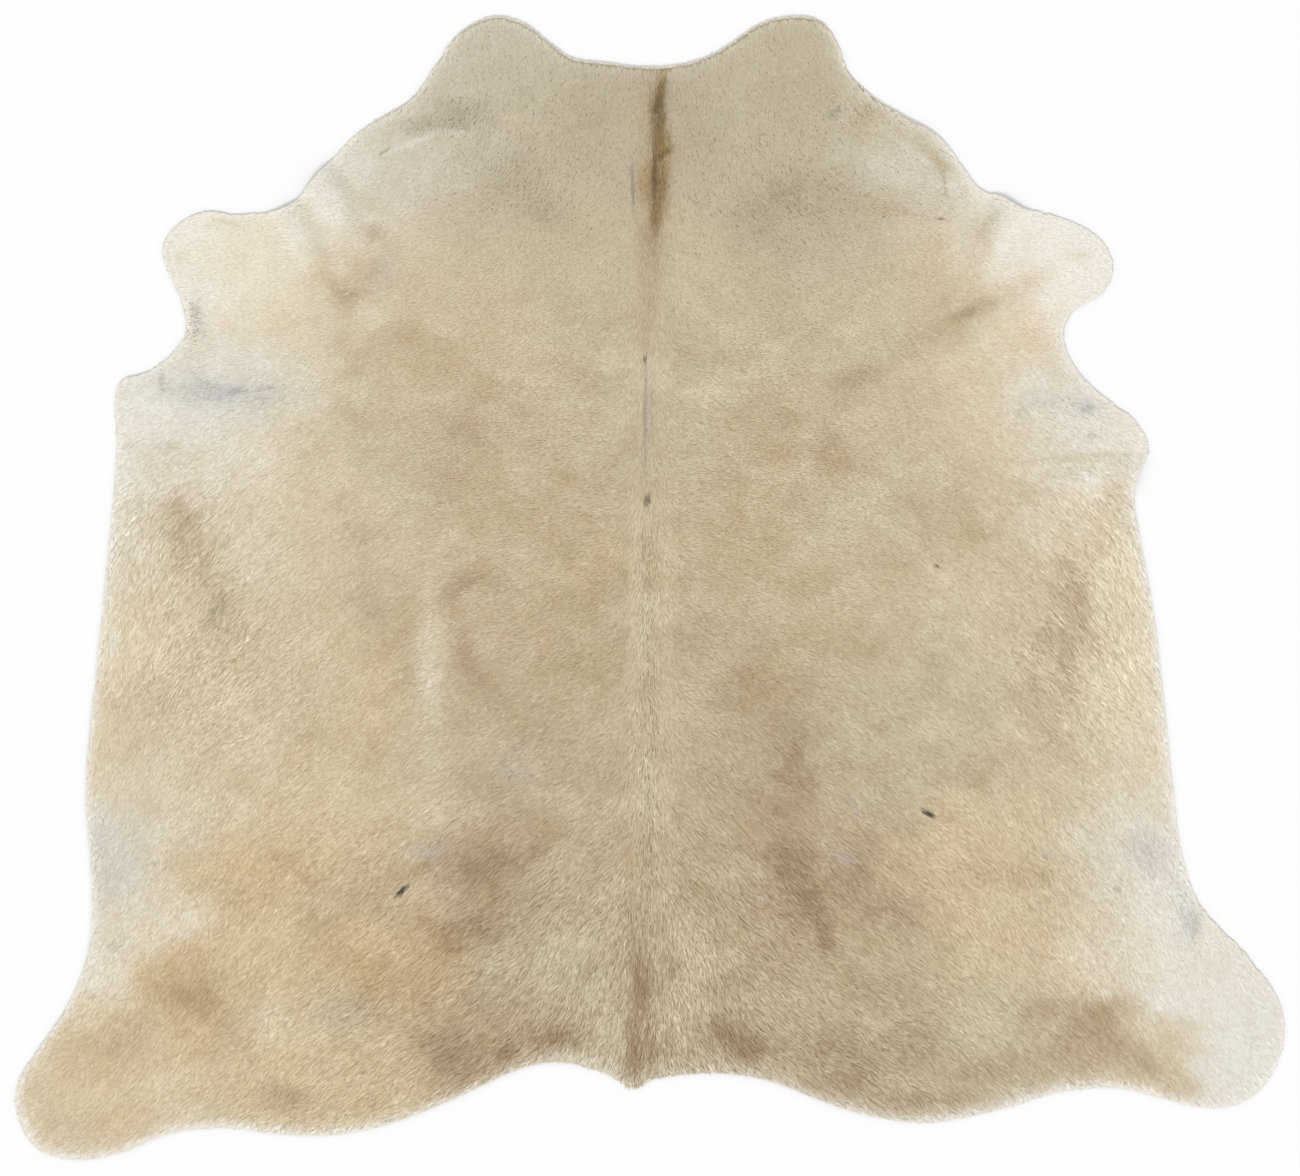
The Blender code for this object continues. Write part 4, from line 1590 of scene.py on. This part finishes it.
@dataclass
class Leather:
    """The hide itself: one closed sheet with a rounded cut edge, flat on the floor but for its
    folds. Its upper side stands for the skin and the dense underfur on it, which ends at the rim.
    """

    edge: CutEdge
    relief: Relief
    cells: int = 168
    drawn_in: float = 0.0016
    rim_rows: int = 5
    edge_round: float = 0.0009
    bake_side: float = 0.49
    bake_height: float = 0.96
    bake_strip: float = 0.03
    bake_margin: float = 0.005
    bake_gap: float = 0.02

    def plan_points(self) -> np.ndarray:
        """The places of a square grid of cells spread over the outline.

        The square is mapped to a disc ring by ring, and the disc's centre goes to the heart of
        the hide and its edge to the cut edge, with straight spokes between them.

        Returns:
            The places, row by row of the grid.
        """
        line = np.linspace(-1.0, 1.0, self.cells + 1)
        u, v = np.meshgrid(line, line)
        wide = np.abs(u) > np.abs(v)
        reach = np.where(wide, u, v)
        safe = np.where(reach == 0.0, 1.0, reach)
        angle = np.where(wide, tau / 8.0 * v / safe, tau / 4.0 - tau / 8.0 * u / safe)
        x, y = reach * np.cos(angle), reach * np.sin(angle)
        ring = np.hypot(x, y)[..., None]
        share = (np.arctan2(y, x) / tau) % 1.0
        rim = self.edge_at(share.ravel()).reshape(*share.shape, 2)
        return (self.edge.heart + ring * (rim - self.edge.heart)).reshape(-1, 2)

    def edge_at(self, share: np.ndarray) -> np.ndarray:
        """The leather's own edge, drawn in a little so that the coat covers it."""
        inward = self.drawn_in + self.edge_round
        return self.edge.at(share) - inward * self.edge.outward(share)

    def around(self) -> np.ndarray:
        """The numbers of the grid's outer points, anticlockwise."""
        n = self.cells
        number = np.arange((n + 1) ** 2).reshape(n + 1, n + 1)
        return np.concatenate([number[0, :-1], number[:-1, n], number[n, :0:-1], number[:0:-1, 0]])

    def rim(self, plan: np.ndarray, low: np.ndarray, high: np.ndarray) -> np.ndarray:
        """The points of the round rim: half an ellipse carried along the edge.

        A point at an angle a from the underside lies edge_round times sin a outside the edge, at
        the middle height less half the height times cos a.

        Args:
            plan: The places along the edge.
            low: The height of the underside at each.
            high: The height of the upper side at each.

        Returns:
            The points, row by row from the underside up.
        """
        out = np.roll(plan, -1, axis=0) - np.roll(plan, 1, axis=0)
        out = np.column_stack([out[:, 1], -out[:, 0]]) / np.linalg.norm(out, axis=1)[:, None]
        middle, half = (low + high) / 2.0, (high - low) / 2.0
        rows = []
        for a in np.linspace(0.0, np.pi, self.rim_rows + 2)[1:-1]:
            place = plan + self.edge_round * np.sin(a) * out
            rows.append(np.column_stack([place, middle - half * np.cos(a)]))
        return np.vstack(rows)

    def wall(self, ring: np.ndarray, count: int) -> np.ndarray:
        """The faces of the rim, from the underside up.

        Args:
            ring: The numbers of the outer points of a side.
            count: How many points a side has.

        Returns:
            Four numbers for each face.
        """
        around = len(ring)
        rows = [2 * count + k * around + np.arange(around) for k in range(self.rim_rows)]
        levels = [ring, *rows, count + ring]
        return np.vstack([
            np.column_stack([a, np.roll(a, -1), np.roll(b, -1), b])
            for a, b in zip(levels, levels[1:])
        ])

    def build(self, colouring: Colouring) -> bpy.types.Object:
        """Makes the closed sheet: its flesh side, its grain side and a round rim between them.

        Args:
            colouring: What colours the grain side.

        Returns:
            The sheet.
        """
        plan = self.plan_points()
        low = self.relief.under(plan)
        skin = low + self.relief.leather(plan)
        high = skin + self.relief.underfur(plan)
        ring = self.around()
        high[ring] = skin[ring]
        rim = self.rim(plan[ring], low[ring], high[ring])
        corners = np.vstack([np.column_stack([plan, low]), np.column_stack([plan, high]), rim])
        side = grid_faces(self.cells)
        faces = np.vstack([side[:, ::-1], side + len(plan), self.wall(ring, len(plan))])
        mesh = new_mesh("hide_leather", corners, faces)
        slots = np.ones(len(faces), dtype=np.int32)
        slots[len(side) : 2 * len(side)] = 0
        mesh.polygons.foreach_set("material_index", slots)
        mesh.materials.append(GrainSkin().material())
        mesh.materials.append(SuedeBack().material())
        add_uv(mesh, "OFBake", self.bake_map(corners, faces, len(side), len(ring)))
        add_tint(mesh, colouring.colours(self.edge.pixels(corners[:, :2])))
        return bpy.data.objects.new("hide_leather", mesh)

    def bake_map(self, corners: np.ndarray, faces: np.ndarray, side: int, around: int) -> np.ndarray:
        """Both sides in plan, side by side, over a strip for the rim.

        Args:
            corners: The vertices.
            faces: Their numbers for each face.
            side: How many faces each side has.
            around: How many faces go once round the rim.

        Returns:
            One row for each corner of each face, from 0 to 1.
        """
        plan = (corners[faces.ravel(), :2] - self.edge.low) / (self.edge.high - self.edge.low)
        uv = plan * (self.bake_side, self.bake_height - self.bake_strip)
        uv += (self.bake_margin, self.bake_strip + self.bake_gap)
        uv[4 * side : 8 * side, 0] += 0.5
        row, step = np.divmod(np.arange(len(faces) - 2 * side), around)
        u = (step[:, None] + np.array([0, 1, 1, 0])) / around
        v = (row[:, None] + np.array([0, 0, 1, 1])) / (self.rim_rows + 1) * self.bake_strip
        uv[8 * side :] = np.column_stack([u.ravel(), v.ravel()])
        return uv


class Area(Enum):
    """The areas of the coat, each a piece, by the pixel at its middle."""

    NECK_LEFT = (520, 130)
    NECK_RIGHT = (780, 130)
    SHOULDER_LEFT = (370, 290)
    SHOULDER_RIGHT = (930, 290)
    WITHERS = (650, 330)
    FORELEG_LEFT = (200, 330)
    FORELEG_RIGHT = (1085, 340)
    RIBS_LEFT = (420, 540)
    RIBS_RIGHT = (870, 540)
    FLANK_LEFT = (190, 640)
    FLANK_RIGHT = (1090, 640)
    LOIN = (640, 650)
    RUMP_LEFT = (460, 850)
    RUMP_RIGHT = (820, 850)
    CROUP = (640, 960)
    THIGH_LEFT = (220, 960)
    THIGH_RIGHT = (1060, 960)


@dataclass
class Locks:
    """Locks of hair, one row or value each, before they get their corners and colours.

    Attributes:
        roots: Where each lock grows, in metres.
        tips: Where it ends.
        width: Its width.
        height: How high its tip lies over the skin, in depths of the coat.
        rise: How high its root lies over the skin, in metres.
        ridge: How much lower its shoulders lie than its ridge.
        roll: How far one shoulder is higher than the other.
        shade: How much lighter it is than its place, as a share.
        warmth: How much warmer it is.
        streaked: How strongly its hairs stand out from one another.
        mixed: How much more or less of a patch's colour it takes.
    """

    roots: np.ndarray
    tips: np.ndarray
    width: np.ndarray
    height: np.ndarray
    rise: np.ndarray
    ridge: np.ndarray
    roll: np.ndarray
    shade: np.ndarray
    warmth: np.ndarray
    streaked: np.ndarray
    mixed: np.ndarray | float = 0.0


@dataclass
class Coat:
    """Short hair over the whole hide, as small folded locks that overlap like shingles.

    Lengths are in metres. A lock is two triangles that meet in a ridge from its root to its tip.
    Where the coat is coarse the locks are longer, more ruffled and more streaked, and some lie
    raised over the others. A fringe of short locks hides the cut edge.
    """

    edge: CutEdge
    relief: Relief
    lie: HairLie

    # Where locks grow
    pitch: float = 0.00302
    jitter: float = 0.36
    edge_gap: float = 0.0006

    # How long and wide they are
    base_length: float = 0.0085
    length_gain: float = 0.70
    mane_gain: float = 0.30
    length_spread: float = 0.20
    cover: float = 5.4e-5
    coarse_gaps: float = 0.28
    width_spread: float = 0.20
    shoulder: float = 0.42

    # Which way they point
    stray: float = radians(8.0)
    sleek_turn: float = 0.6
    coarse_turn: float = 0.4
    clump_size: float = 0.0125
    clump_middle: tuple[float, float] = (0.12, 0.88)
    clump_pull: float = 0.26
    clump_turn: float = radians(6.0)

    # How high they lie
    root_sunk: float = 0.0003
    sleek_ridge: float = 0.00010
    coarse_ridge: float = 0.00018
    roll: float = 0.00014
    sleek_unevenness: float = 0.04
    coarse_unevenness: float = 0.12
    uneven_range: tuple[float, float] = (-1.0, 0.6)
    raised: float = 0.80

    # How light, warm and streaked they are
    shade: float = 0.044
    comb: float = 0.72
    comb_rounds: int = 4
    comb_cell: float = 1.35
    clump_shade: float = 0.008
    painted_light_by_height: float = 0.06
    coarse_lift: float = 0.014
    warmth: float = 0.003
    warm_hue: tuple[float, float, float] = (1.0, 0.0, -1.4)
    mixing: float = 0.45
    sleek_streaks: float = 0.40
    coarse_streaks: float = 1.25

    # Dark flecks, against other locks
    fleck_shade: float = 0.72
    fleck_width: float = 0.42
    fleck_length: float = 0.36
    fleck_height: float = 0.10

    # At the cut edge, and at the foot of the rump in pixels
    rim_share: float = 0.85
    rim_width: float = 0.0100
    rump_rim: float = 0.60
    rump_foot: tuple[float, float] = (640.0, 1062.0)
    rump_reach: tuple[float, float] = (190.0, 60.0)
    overhang: float = 0.0022
    trims: int = 2
    trimmed_least: float = 0.1
    drop_width: float = 0.008
    drop_share: float = 0.8

    # The fringe
    fringe_pitch: float = 0.0008
    fringe_rows: int = 2
    fringe_jitter: float = 0.4
    fringe_inset: tuple[float, float] = (0.0015, 0.0045)
    fringe_facing: float = 0.75
    fringe_stray: float = 0.30
    fringe_width: float = 0.0016
    fringe_length: float = 0.0050
    fringe_shortest: float = 0.7
    fringe_gain: float = 0.5
    fringe_length_spread: float = 0.25
    fringe_height: tuple[float, float] = (0.05, 0.75)
    fringe_roll: float = 0.5

    # UV maps
    bake_share: float = 0.99
    bake_margin: float = 0.005
    streak_starts: float = 50.0

    # Painted shade and light along a lock, at its root, its right shoulder, its tip and its left
    # shoulder: the root, which lies under other locks, is painted darker and the tip lighter
    PAINTED_SHADE_ALONG = ((0.94, 0.93, 0.91), (0.99, 0.99, 0.99), (1.02, 1.02, 1.02), (0.99, 0.99, 0.99))

    def lattice(self) -> np.ndarray:
        """The roots: a hexagonal lattice over the hide, each point moved a little at random.

        Returns:
            Their places, one row each.
        """
        draw = np.random.default_rng(Seed.ROOTS)
        row_step = self.pitch * 0.75**0.5  # half the root of 3, as in a hexagonal lattice
        size = (self.edge.high - self.edge.low) / (self.pitch, row_step)
        columns, rows = size.astype(int) + 2
        row, column = np.divmod(np.arange(rows * columns), columns)
        roots = np.column_stack([(column + (row % 2) / 2.0) * self.pitch, row * row_step])
        roots += self.edge.low + draw.uniform(-self.jitter, self.jitter, roots.shape) * self.pitch
        return roots[self.edge.inside_by(roots) > self.edge_gap]

    def clumps(self, roots: np.ndarray) -> tuple[np.ndarray, np.ndarray]:
        """The clump that each root belongs to: the nearest of one random point in each cell.

        Args:
            roots: The locks' roots.

        Returns:
            The clump's middle for each root, and two random numbers that its locks share.
        """
        draw = np.random.default_rng(Seed.CLUMPS)
        table = draw.uniform(*self.clump_middle, (NOISE_TABLE, NOISE_TABLE, 2))
        mood = draw.normal(0.0, 1.0, (NOISE_TABLE, NOISE_TABLE, 2))
        cell = np.floor(roots / self.clump_size).astype(int)
        best = np.full(len(roots), np.inf)
        middle = np.zeros_like(roots)
        moods = np.zeros_like(roots)
        for step in np.ndindex(3, 3):
            other = cell + step - 1
            i, j = (other % NOISE_TABLE).T
            place = (other + table[i, j]) * self.clump_size
            gap = ((roots - place) ** 2).sum(axis=1)
            near = gap < best
            best[near] = gap[near]
            middle[near] = place[near]
            moods[near] = mood[i[near], j[near]]
        return middle, moods

    def locks(self) -> Locks:
        """Draws every lock of the coat.

        The tip lies a length along the lie of the hair from the root, drawn towards its clump's
        line. The wider and longer the locks are, the fewer of them cover the same skin, so the
        width is the cover over the length.

        Returns:
            The locks.
        """
        roots = self.lattice()
        draw = np.random.default_rng(Seed.LOCKS)
        count = len(roots)
        middle, mood = self.clumps(roots)
        at = self.edge.pixels(roots)
        heading, length = self.lie.read(at)
        coarse = self.lie.coarseness(at)
        full = np.minimum(coarse, 1.0)

        turn = self.stray * draw.normal(0.0, 1.0, count) + self.clump_turn * mood[:, 0]
        heading = turned(heading, turn * (self.sleek_turn + self.coarse_turn * coarse))
        length = self.base_length + length * (self.length_gain + self.mane_gain * self.lie.mane(at))
        cover = self.cover * (1.0 - self.coarse_gaps * full)
        width = cover / length * np.exp(self.width_spread * draw.normal(0.0, 1.0, count))
        length = length * np.exp(self.length_spread * draw.normal(0.0, 1.0, count))
        flecked = draw.uniform(0.0, 1.0, count) < self.flecked(at)
        width[flecked] *= self.fleck_width
        length[flecked] *= self.fleck_length
        aside = middle - roots
        aside -= heading * (aside * heading).sum(axis=1)[:, None]
        tips = self.trimmed(roots, roots + heading * length[:, None] + self.clump_pull * aside)

        unevenness = between(self.sleek_unevenness, self.coarse_unevenness, coarse)
        height = 1.0 + unevenness * draw.uniform(*self.uneven_range, count)
        height[flecked] += self.fleck_height
        raised = draw.uniform(0.0, 1.0, count)
        underfur = self.relief.underfur(roots)
        rise = underfur - self.root_sunk
        rise += self.raised * raised * full**2 * (self.relief.coat(roots) - underfur)
        roll = self.roll * coarse * draw.normal(0.0, 1.0, count)

        shade = self.shade * self.combed(roots, tips, draw.normal(0.0, 1.0, count))
        shade += self.clump_shade * mood[:, 1]
        # Painted light and shade: raised locks lie on top and are painted lighter, and low ones lie
        # in
        # the others' shade and are painted darker
        shade += self.painted_light_by_height * (raised - 0.5)
        shade = (shade + self.coarse_lift) * coarse
        shade[flecked] -= 1.0 - self.fleck_shade
        warmth = self.warmth * draw.normal(0.0, 1.0, count)
        mixed = self.mixing * draw.normal(0.0, 1.0, count)
        return Locks(
            roots=roots, tips=tips, width=width, height=height, rise=rise, roll=roll,
            ridge=between(self.sleek_ridge, self.coarse_ridge, coarse),
            streaked=between(self.sleek_streaks, self.coarse_streaks, coarse),
            shade=shade, warmth=warmth, mixed=mixed,
        )

    def combed(self, roots: np.ndarray, tips: np.ndarray, own: np.ndarray) -> np.ndarray:
        """Random values that run on from lock to lock, as light and dark strands do.

        Each round gives a lock comb times the value of one that grows where it ends, and the
        root of (1 - comb squared) times its own, which keeps the spread of the values.

        Args:
            roots: The locks' roots.
            tips: Their tips.
            own: A random value for each.

        Returns:
            The values.
        """
        cell = self.comb_cell * self.pitch
        low = self.edge.low - self.edge.margin
        columns, rows = ((self.edge.high + self.edge.margin - low) / cell).astype(int) + 1
        grower = np.full((rows, columns), -1)
        i, j = ((roots - low) / cell).astype(int).T
        grower[j, i] = np.arange(len(roots))
        i, j = ((tips - low) / cell).astype(int).T
        follower = grower[j, i]
        values = own
        for _ in range(self.comb_rounds):
            passed = self.comb * values[follower] + (1.0 - self.comb**2) ** 0.5 * own
            values = np.where(follower < 0, own, passed)
        return values

    def flecked(self, at: np.ndarray) -> np.ndarray:
        """The share of dark locks at each place.

        Args:
            at: Places in pixels, one row each.

        Returns:
            The shares, from 0 to 1.
        """
        share = np.zeros(len(at))
        for row in FLECKING:
            share += row.share * np.exp(-(((at - row.at) / row.reach) ** 2).sum(axis=1))
        return share

    def trimmed(self, roots: np.ndarray, tips: np.ndarray) -> np.ndarray:
        """Draws the tips back so that none passes the edge by more than the overhang.

        Args:
            roots: The locks' roots.
            tips: Their tips.

        Returns:
            The tips, on the same lines from their roots.
        """
        for _ in range(self.trims):
            start, end = self.edge.inside_by(roots), self.edge.inside_by(tips)
            past = end < -self.overhang
            kept = (start + self.overhang) / np.maximum(start - end, LEAST_GAP)
            kept = np.clip(np.where(past, kept, 1.0), self.trimmed_least, 1.0)
            tips = roots + kept[:, None] * (tips - roots)
        return tips

    def fringe(self) -> Locks:
        """Draws the locks along the cut edge that lean out over it, down to the floor.

        Returns:
            The locks.
        """
        draw = np.random.default_rng(Seed.FRINGE)
        per_row = int(self.edge.length / self.fringe_pitch)
        count = per_row * self.fringe_rows
        moved = draw.uniform(-self.fringe_jitter, self.fringe_jitter, count)
        share = (np.arange(count) + moved) / per_row
        out = self.edge.outward(share)
        roots = self.edge.at(share) - out * draw.uniform(*self.fringe_inset, count)[:, None]
        heading, _ = self.lie.read(self.edge.pixels(roots))
        facing = (heading * out).sum(axis=1)
        lean = heading + out * np.maximum(self.fringe_facing - facing, 0.0)[:, None]
        lean /= np.linalg.norm(lean, axis=1)[:, None]
        lean = turned(lean, self.fringe_stray * draw.normal(0.0, 1.0, count))
        stretch = self.fringe_shortest + self.fringe_gain * np.clip(facing, 0.0, 1.0)
        length = self.fringe_length * stretch
        length *= np.exp(self.fringe_length_spread * draw.normal(0.0, 1.0, count))
        tips = roots + lean * length[:, None]
        height = draw.uniform(*self.fringe_height, count)
        width = self.fringe_width * np.exp(self.width_spread * draw.normal(0.0, 1.0, count))
        roll = self.fringe_roll * self.roll * draw.normal(0.0, 1.0, count)
        shade = self.shade * draw.normal(0.0, 1.0, count)
        warmth = self.warmth * draw.normal(0.0, 1.0, count)
        return Locks(
            roots=roots, tips=tips, width=width, height=height, roll=roll,
            rise=np.full(count, -self.root_sunk), ridge=np.full(count, self.coarse_ridge),
            streaked=np.ones(count), shade=shade, warmth=warmth,
        )

    def shaped(self, locks: Locks, colouring: Colouring) -> dict[str, np.ndarray]:
        """Gives locks their corners and colours.

        The two shoulders lie a share of the way from root to tip, half a width to either side, a
        ridge's height lower than the line between them and rolled a little to one side. A tip
        past the edge drops towards the floor.

        Args:
            locks: The locks.
            colouring: What colours the coat.

        Returns:
            roots, corners (n, 4, 3), colours (n, 4, 3), width, length and streaked.
        """
        roots, tips, relief = locks.roots, locks.tips, self.relief
        heading = tips - roots
        length = np.linalg.norm(heading, axis=1)
        side = np.column_stack([heading[:, 1], -heading[:, 0]]) / length[:, None]
        inside = self.edge.inside_by(tips)
        drop = np.clip(-inside / self.drop_width, 0.0, 1.0)
        root_z = relief.under(roots) + relief.leather(roots) + locks.rise
        tip_z = relief.leather(tips) + locks.height * relief.coat(tips)
        tip_z = relief.under(tips) + tip_z * (1.0 - self.drop_share * drop)
        hips = roots + self.shoulder * heading
        hip_z = root_z + self.shoulder * (tip_z - root_z)
        half = side * locks.width[:, None] / 2.0
        corners = np.stack(
            [
                np.column_stack([roots, root_z]),
                np.column_stack([hips + half, hip_z - locks.ridge - locks.roll]),
                np.column_stack([tips, tip_z]),
                np.column_stack([hips - half, hip_z - locks.ridge + locks.roll]),
            ],
            axis=1,
        )
        corners[:, :, 2] = np.maximum(corners[:, :, 2], self.root_sunk)
        place = self.edge.pixels(roots + 0.5 * heading)
        colour = colouring.colours(place, locks.mixed)
        # A painted highlight along the cut edge
        pale = self.painted_rim_highlight(place, inside)[:, None]
        colour += pale * (srgb(Tone.WHITE.value) - colour)
        colour = colour * (1.0 + locks.shade[:, None] * HAIR_CHANGE)
        colour = colour * (1.0 + locks.warmth[:, None] * self.warm_hue)
        # Painted shade at each lock's root and painted light at its tip
        colours = np.clip(colour[:, None, :] * np.array(self.PAINTED_SHADE_ALONG)[None, :, :], 0.0, 1.0)
        return {
            "roots": roots, "corners": corners, "colours": colours, "width": locks.width,
            "length": length, "streaked": locks.streaked,
        }

    def painted_rim_highlight(self, place: np.ndarray, inside: np.ndarray) -> np.ndarray:
        """A painted highlight along the cut edge: how much white goes into the locks there, and less
        so at the foot of the rump.

        Args:
            place: The locks' middles, in pixels.
            inside: How far inside the edge their tips lie, in metres.

        Returns:
            The share of white in each.
        """
        tailwards = np.exp(-(((place - self.rump_foot) / self.rump_reach) ** 2).sum(axis=1))
        pale = self.rim_share * (1.0 - self.rump_rim * tailwards)
        return pale * np.exp(-np.maximum(inside, 0.0) / self.rim_width)

    def build(self, colouring: Colouring) -> list[bpy.types.Object]:
        """Makes the coat, one piece for each area of the hide.

        Args:
            colouring: What colours the coat.

        Returns:
            The pieces.
        """
        parts = [self.shaped(part, colouring) for part in (self.locks(), self.fringe())]
        locks = {name: np.concatenate([part[name] for part in parts]) for name in parts[0]}
        middles = self.edge.place(np.array([area.value for area in Area]))
        gaps = np.stack([((locks["roots"] - middle) ** 2).sum(axis=1) for middle in middles])
        nearest = gaps.argmin(axis=0)
        finish = GrownHair().material()
        draw = np.random.default_rng(Seed.STREAKS)
        pieces = []
        for number, area in enumerate(Area):
            here = {name: values[nearest == number] for name, values in locks.items()}
            pieces.append(self.piece(f"coat_{area.name.lower()}", here, finish, draw))
        return pieces

    def piece(self, name: str, locks: dict[str, np.ndarray], finish: bpy.types.Material,
              draw: np.random.Generator) -> bpy.types.Object:
        """One area's locks as a joined mesh.

        Args:
            name: The piece's name.
            locks: Its locks.
            finish: Its material.
            draw: What draws each lock's place in the streaks.

        Returns:
            The piece.
        """
        count = len(locks["roots"])
        corners = locks["corners"].reshape(-1, 3)
        first = 4 * np.arange(count)[:, None]
        faces = (first + np.array([[0, 1, 2, 0, 2, 3]])).reshape(-1, 3)
        mesh = new_mesh(name, corners, faces)
        plan = corners[:, :2]
        low, high = plan.min(axis=0), plan.max(axis=0)
        bake = (plan - low) / (high - low).max() * self.bake_share + self.bake_margin
        add_uv(mesh, "OFBake", bake[faces.ravel()])
        start = draw.uniform(0.0, self.streak_starts, (count, 2))
        zero, half, length = np.zeros(count), locks["width"] / 2.0, locks["length"]
        u = np.column_stack([zero, half, zero, -half])
        v = np.column_stack([zero, self.shoulder * length, length, self.shoulder * length])
        strand = np.stack([u + start[:, :1], v + start[:, 1:]], axis=2).reshape(-1, 2)
        add_uv(mesh, "Strand", strand[faces.ravel()])
        add_tint(mesh, locks["colours"].reshape(-1, 3), np.repeat(locks["streaked"], 4))
        mesh.materials.append(finish)
        return bpy.data.objects.new(name, mesh)


@dataclass(frozen=True)
class Studio:
    """A white floor under soft light, and a camera straight above with a long lens."""

    floor_size: float = 14.0
    floor_drop: float = 0.0003
    floor_colour: str = "#e7e7e7"
    floor_roughness: float = 0.9
    floor_specular: float = 0.1
    lens: float = 85.0
    sensor: float = 36.0
    sight: float = 60.0
    middle: tuple[float, float] = (650.0, 588.0)
    fill: float = 0.90
    key: float = 1.4
    key_spread: float = radians(20.0)
    key_tilt: float = radians(40.0)
    key_turn: float = radians(172.0)

    def floor(self) -> bpy.types.Object:
        """A flat square of white board just under the hide.

        Returns:
            The floor.
        """
        line = np.linspace(-0.5, 0.5, 3) * self.floor_size
        x, y = np.meshgrid(line, line)
        corners = np.column_stack([x.ravel(), y.ravel(), np.full(x.size, -self.floor_drop)])
        mesh = new_mesh("floor", corners, grid_faces(2))
        material, tree, shader = new_material("white_board_painted")
        settings = {
            "Base Color": linear_rgba(self.floor_colour), "Roughness": self.floor_roughness,
            "Specular IOR Level": self.floor_specular,
        }
        set_node(tree, shader, settings, {})
        mesh.materials.append(material)
        return bpy.data.objects.new("floor", mesh)

    def lights(self) -> bpy.types.Object:
        """Even white light all round, and one wide soft lamp from above the neck.

        Returns:
            The lamp.
        """
        world = bpy.data.worlds.new("studio")
        world.use_nodes = True
        sky = world.node_tree.nodes["Background"]
        sky.inputs["Color"].default_value = (1.0, 1.0, 1.0, 1.0)
        sky.inputs["Strength"].default_value = self.fill
        bpy.context.scene.world = world
        lamp = bpy.data.lights.new("key", type="SUN")
        lamp.energy = self.key
        lamp.angle = self.key_spread
        key = bpy.data.objects.new("key", lamp)
        key.rotation_euler = (-self.key_tilt, 0.0, self.key_turn)
        return key

    def camera(self, edge: CutEdge) -> bpy.types.Object:
        """The camera, at the height from which the lens takes in the view's width.

        Args:
            edge: The cut edge, which gives the pixels' size.

        Returns:
            The camera.
        """
        lens = bpy.data.cameras.new("camera")
        lens.lens = self.lens
        lens.sensor_width = self.sensor
        lens.clip_end = self.sight
        camera = bpy.data.objects.new("camera", lens)
        across, along = edge.place(np.array([self.middle]))[0]
        up = VIEW_SIZE[0] * edge.scale * self.lens / self.sensor + BACK_THICKNESS
        camera.location = (across, along, up)
        return camera


def main() -> None:
    """Builds the leather, the coat and the studio, and attaches each piece to the root body."""
    logging.basicConfig(level=logging.INFO, format="%(message)s")
    scene = bpy.context.scene
    scene.view_settings.view_transform = "Standard"
    link = scene.collection.objects.link
    edge = CutEdge(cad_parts["cowhide"])
    lie = HairLie()
    relief = Relief(edge, lie)
    colouring = Colouring()

    leather = Leather(edge, relief).build(colouring)
    coat = Coat(edge, relief, lie).build(colouring)
    for piece in [leather, *coat]:
        link(piece)
        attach(piece, "root")
        log.info("%s: %d faces", piece.name, len(piece.data.polygons))
    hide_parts("cowhide")

    studio = Studio()
    floor = studio.floor()
    link(floor)
    link(studio.lights())
    camera = studio.camera(edge)
    link(camera)
    scene.camera = camera


if __name__ == "__main__":
    main()
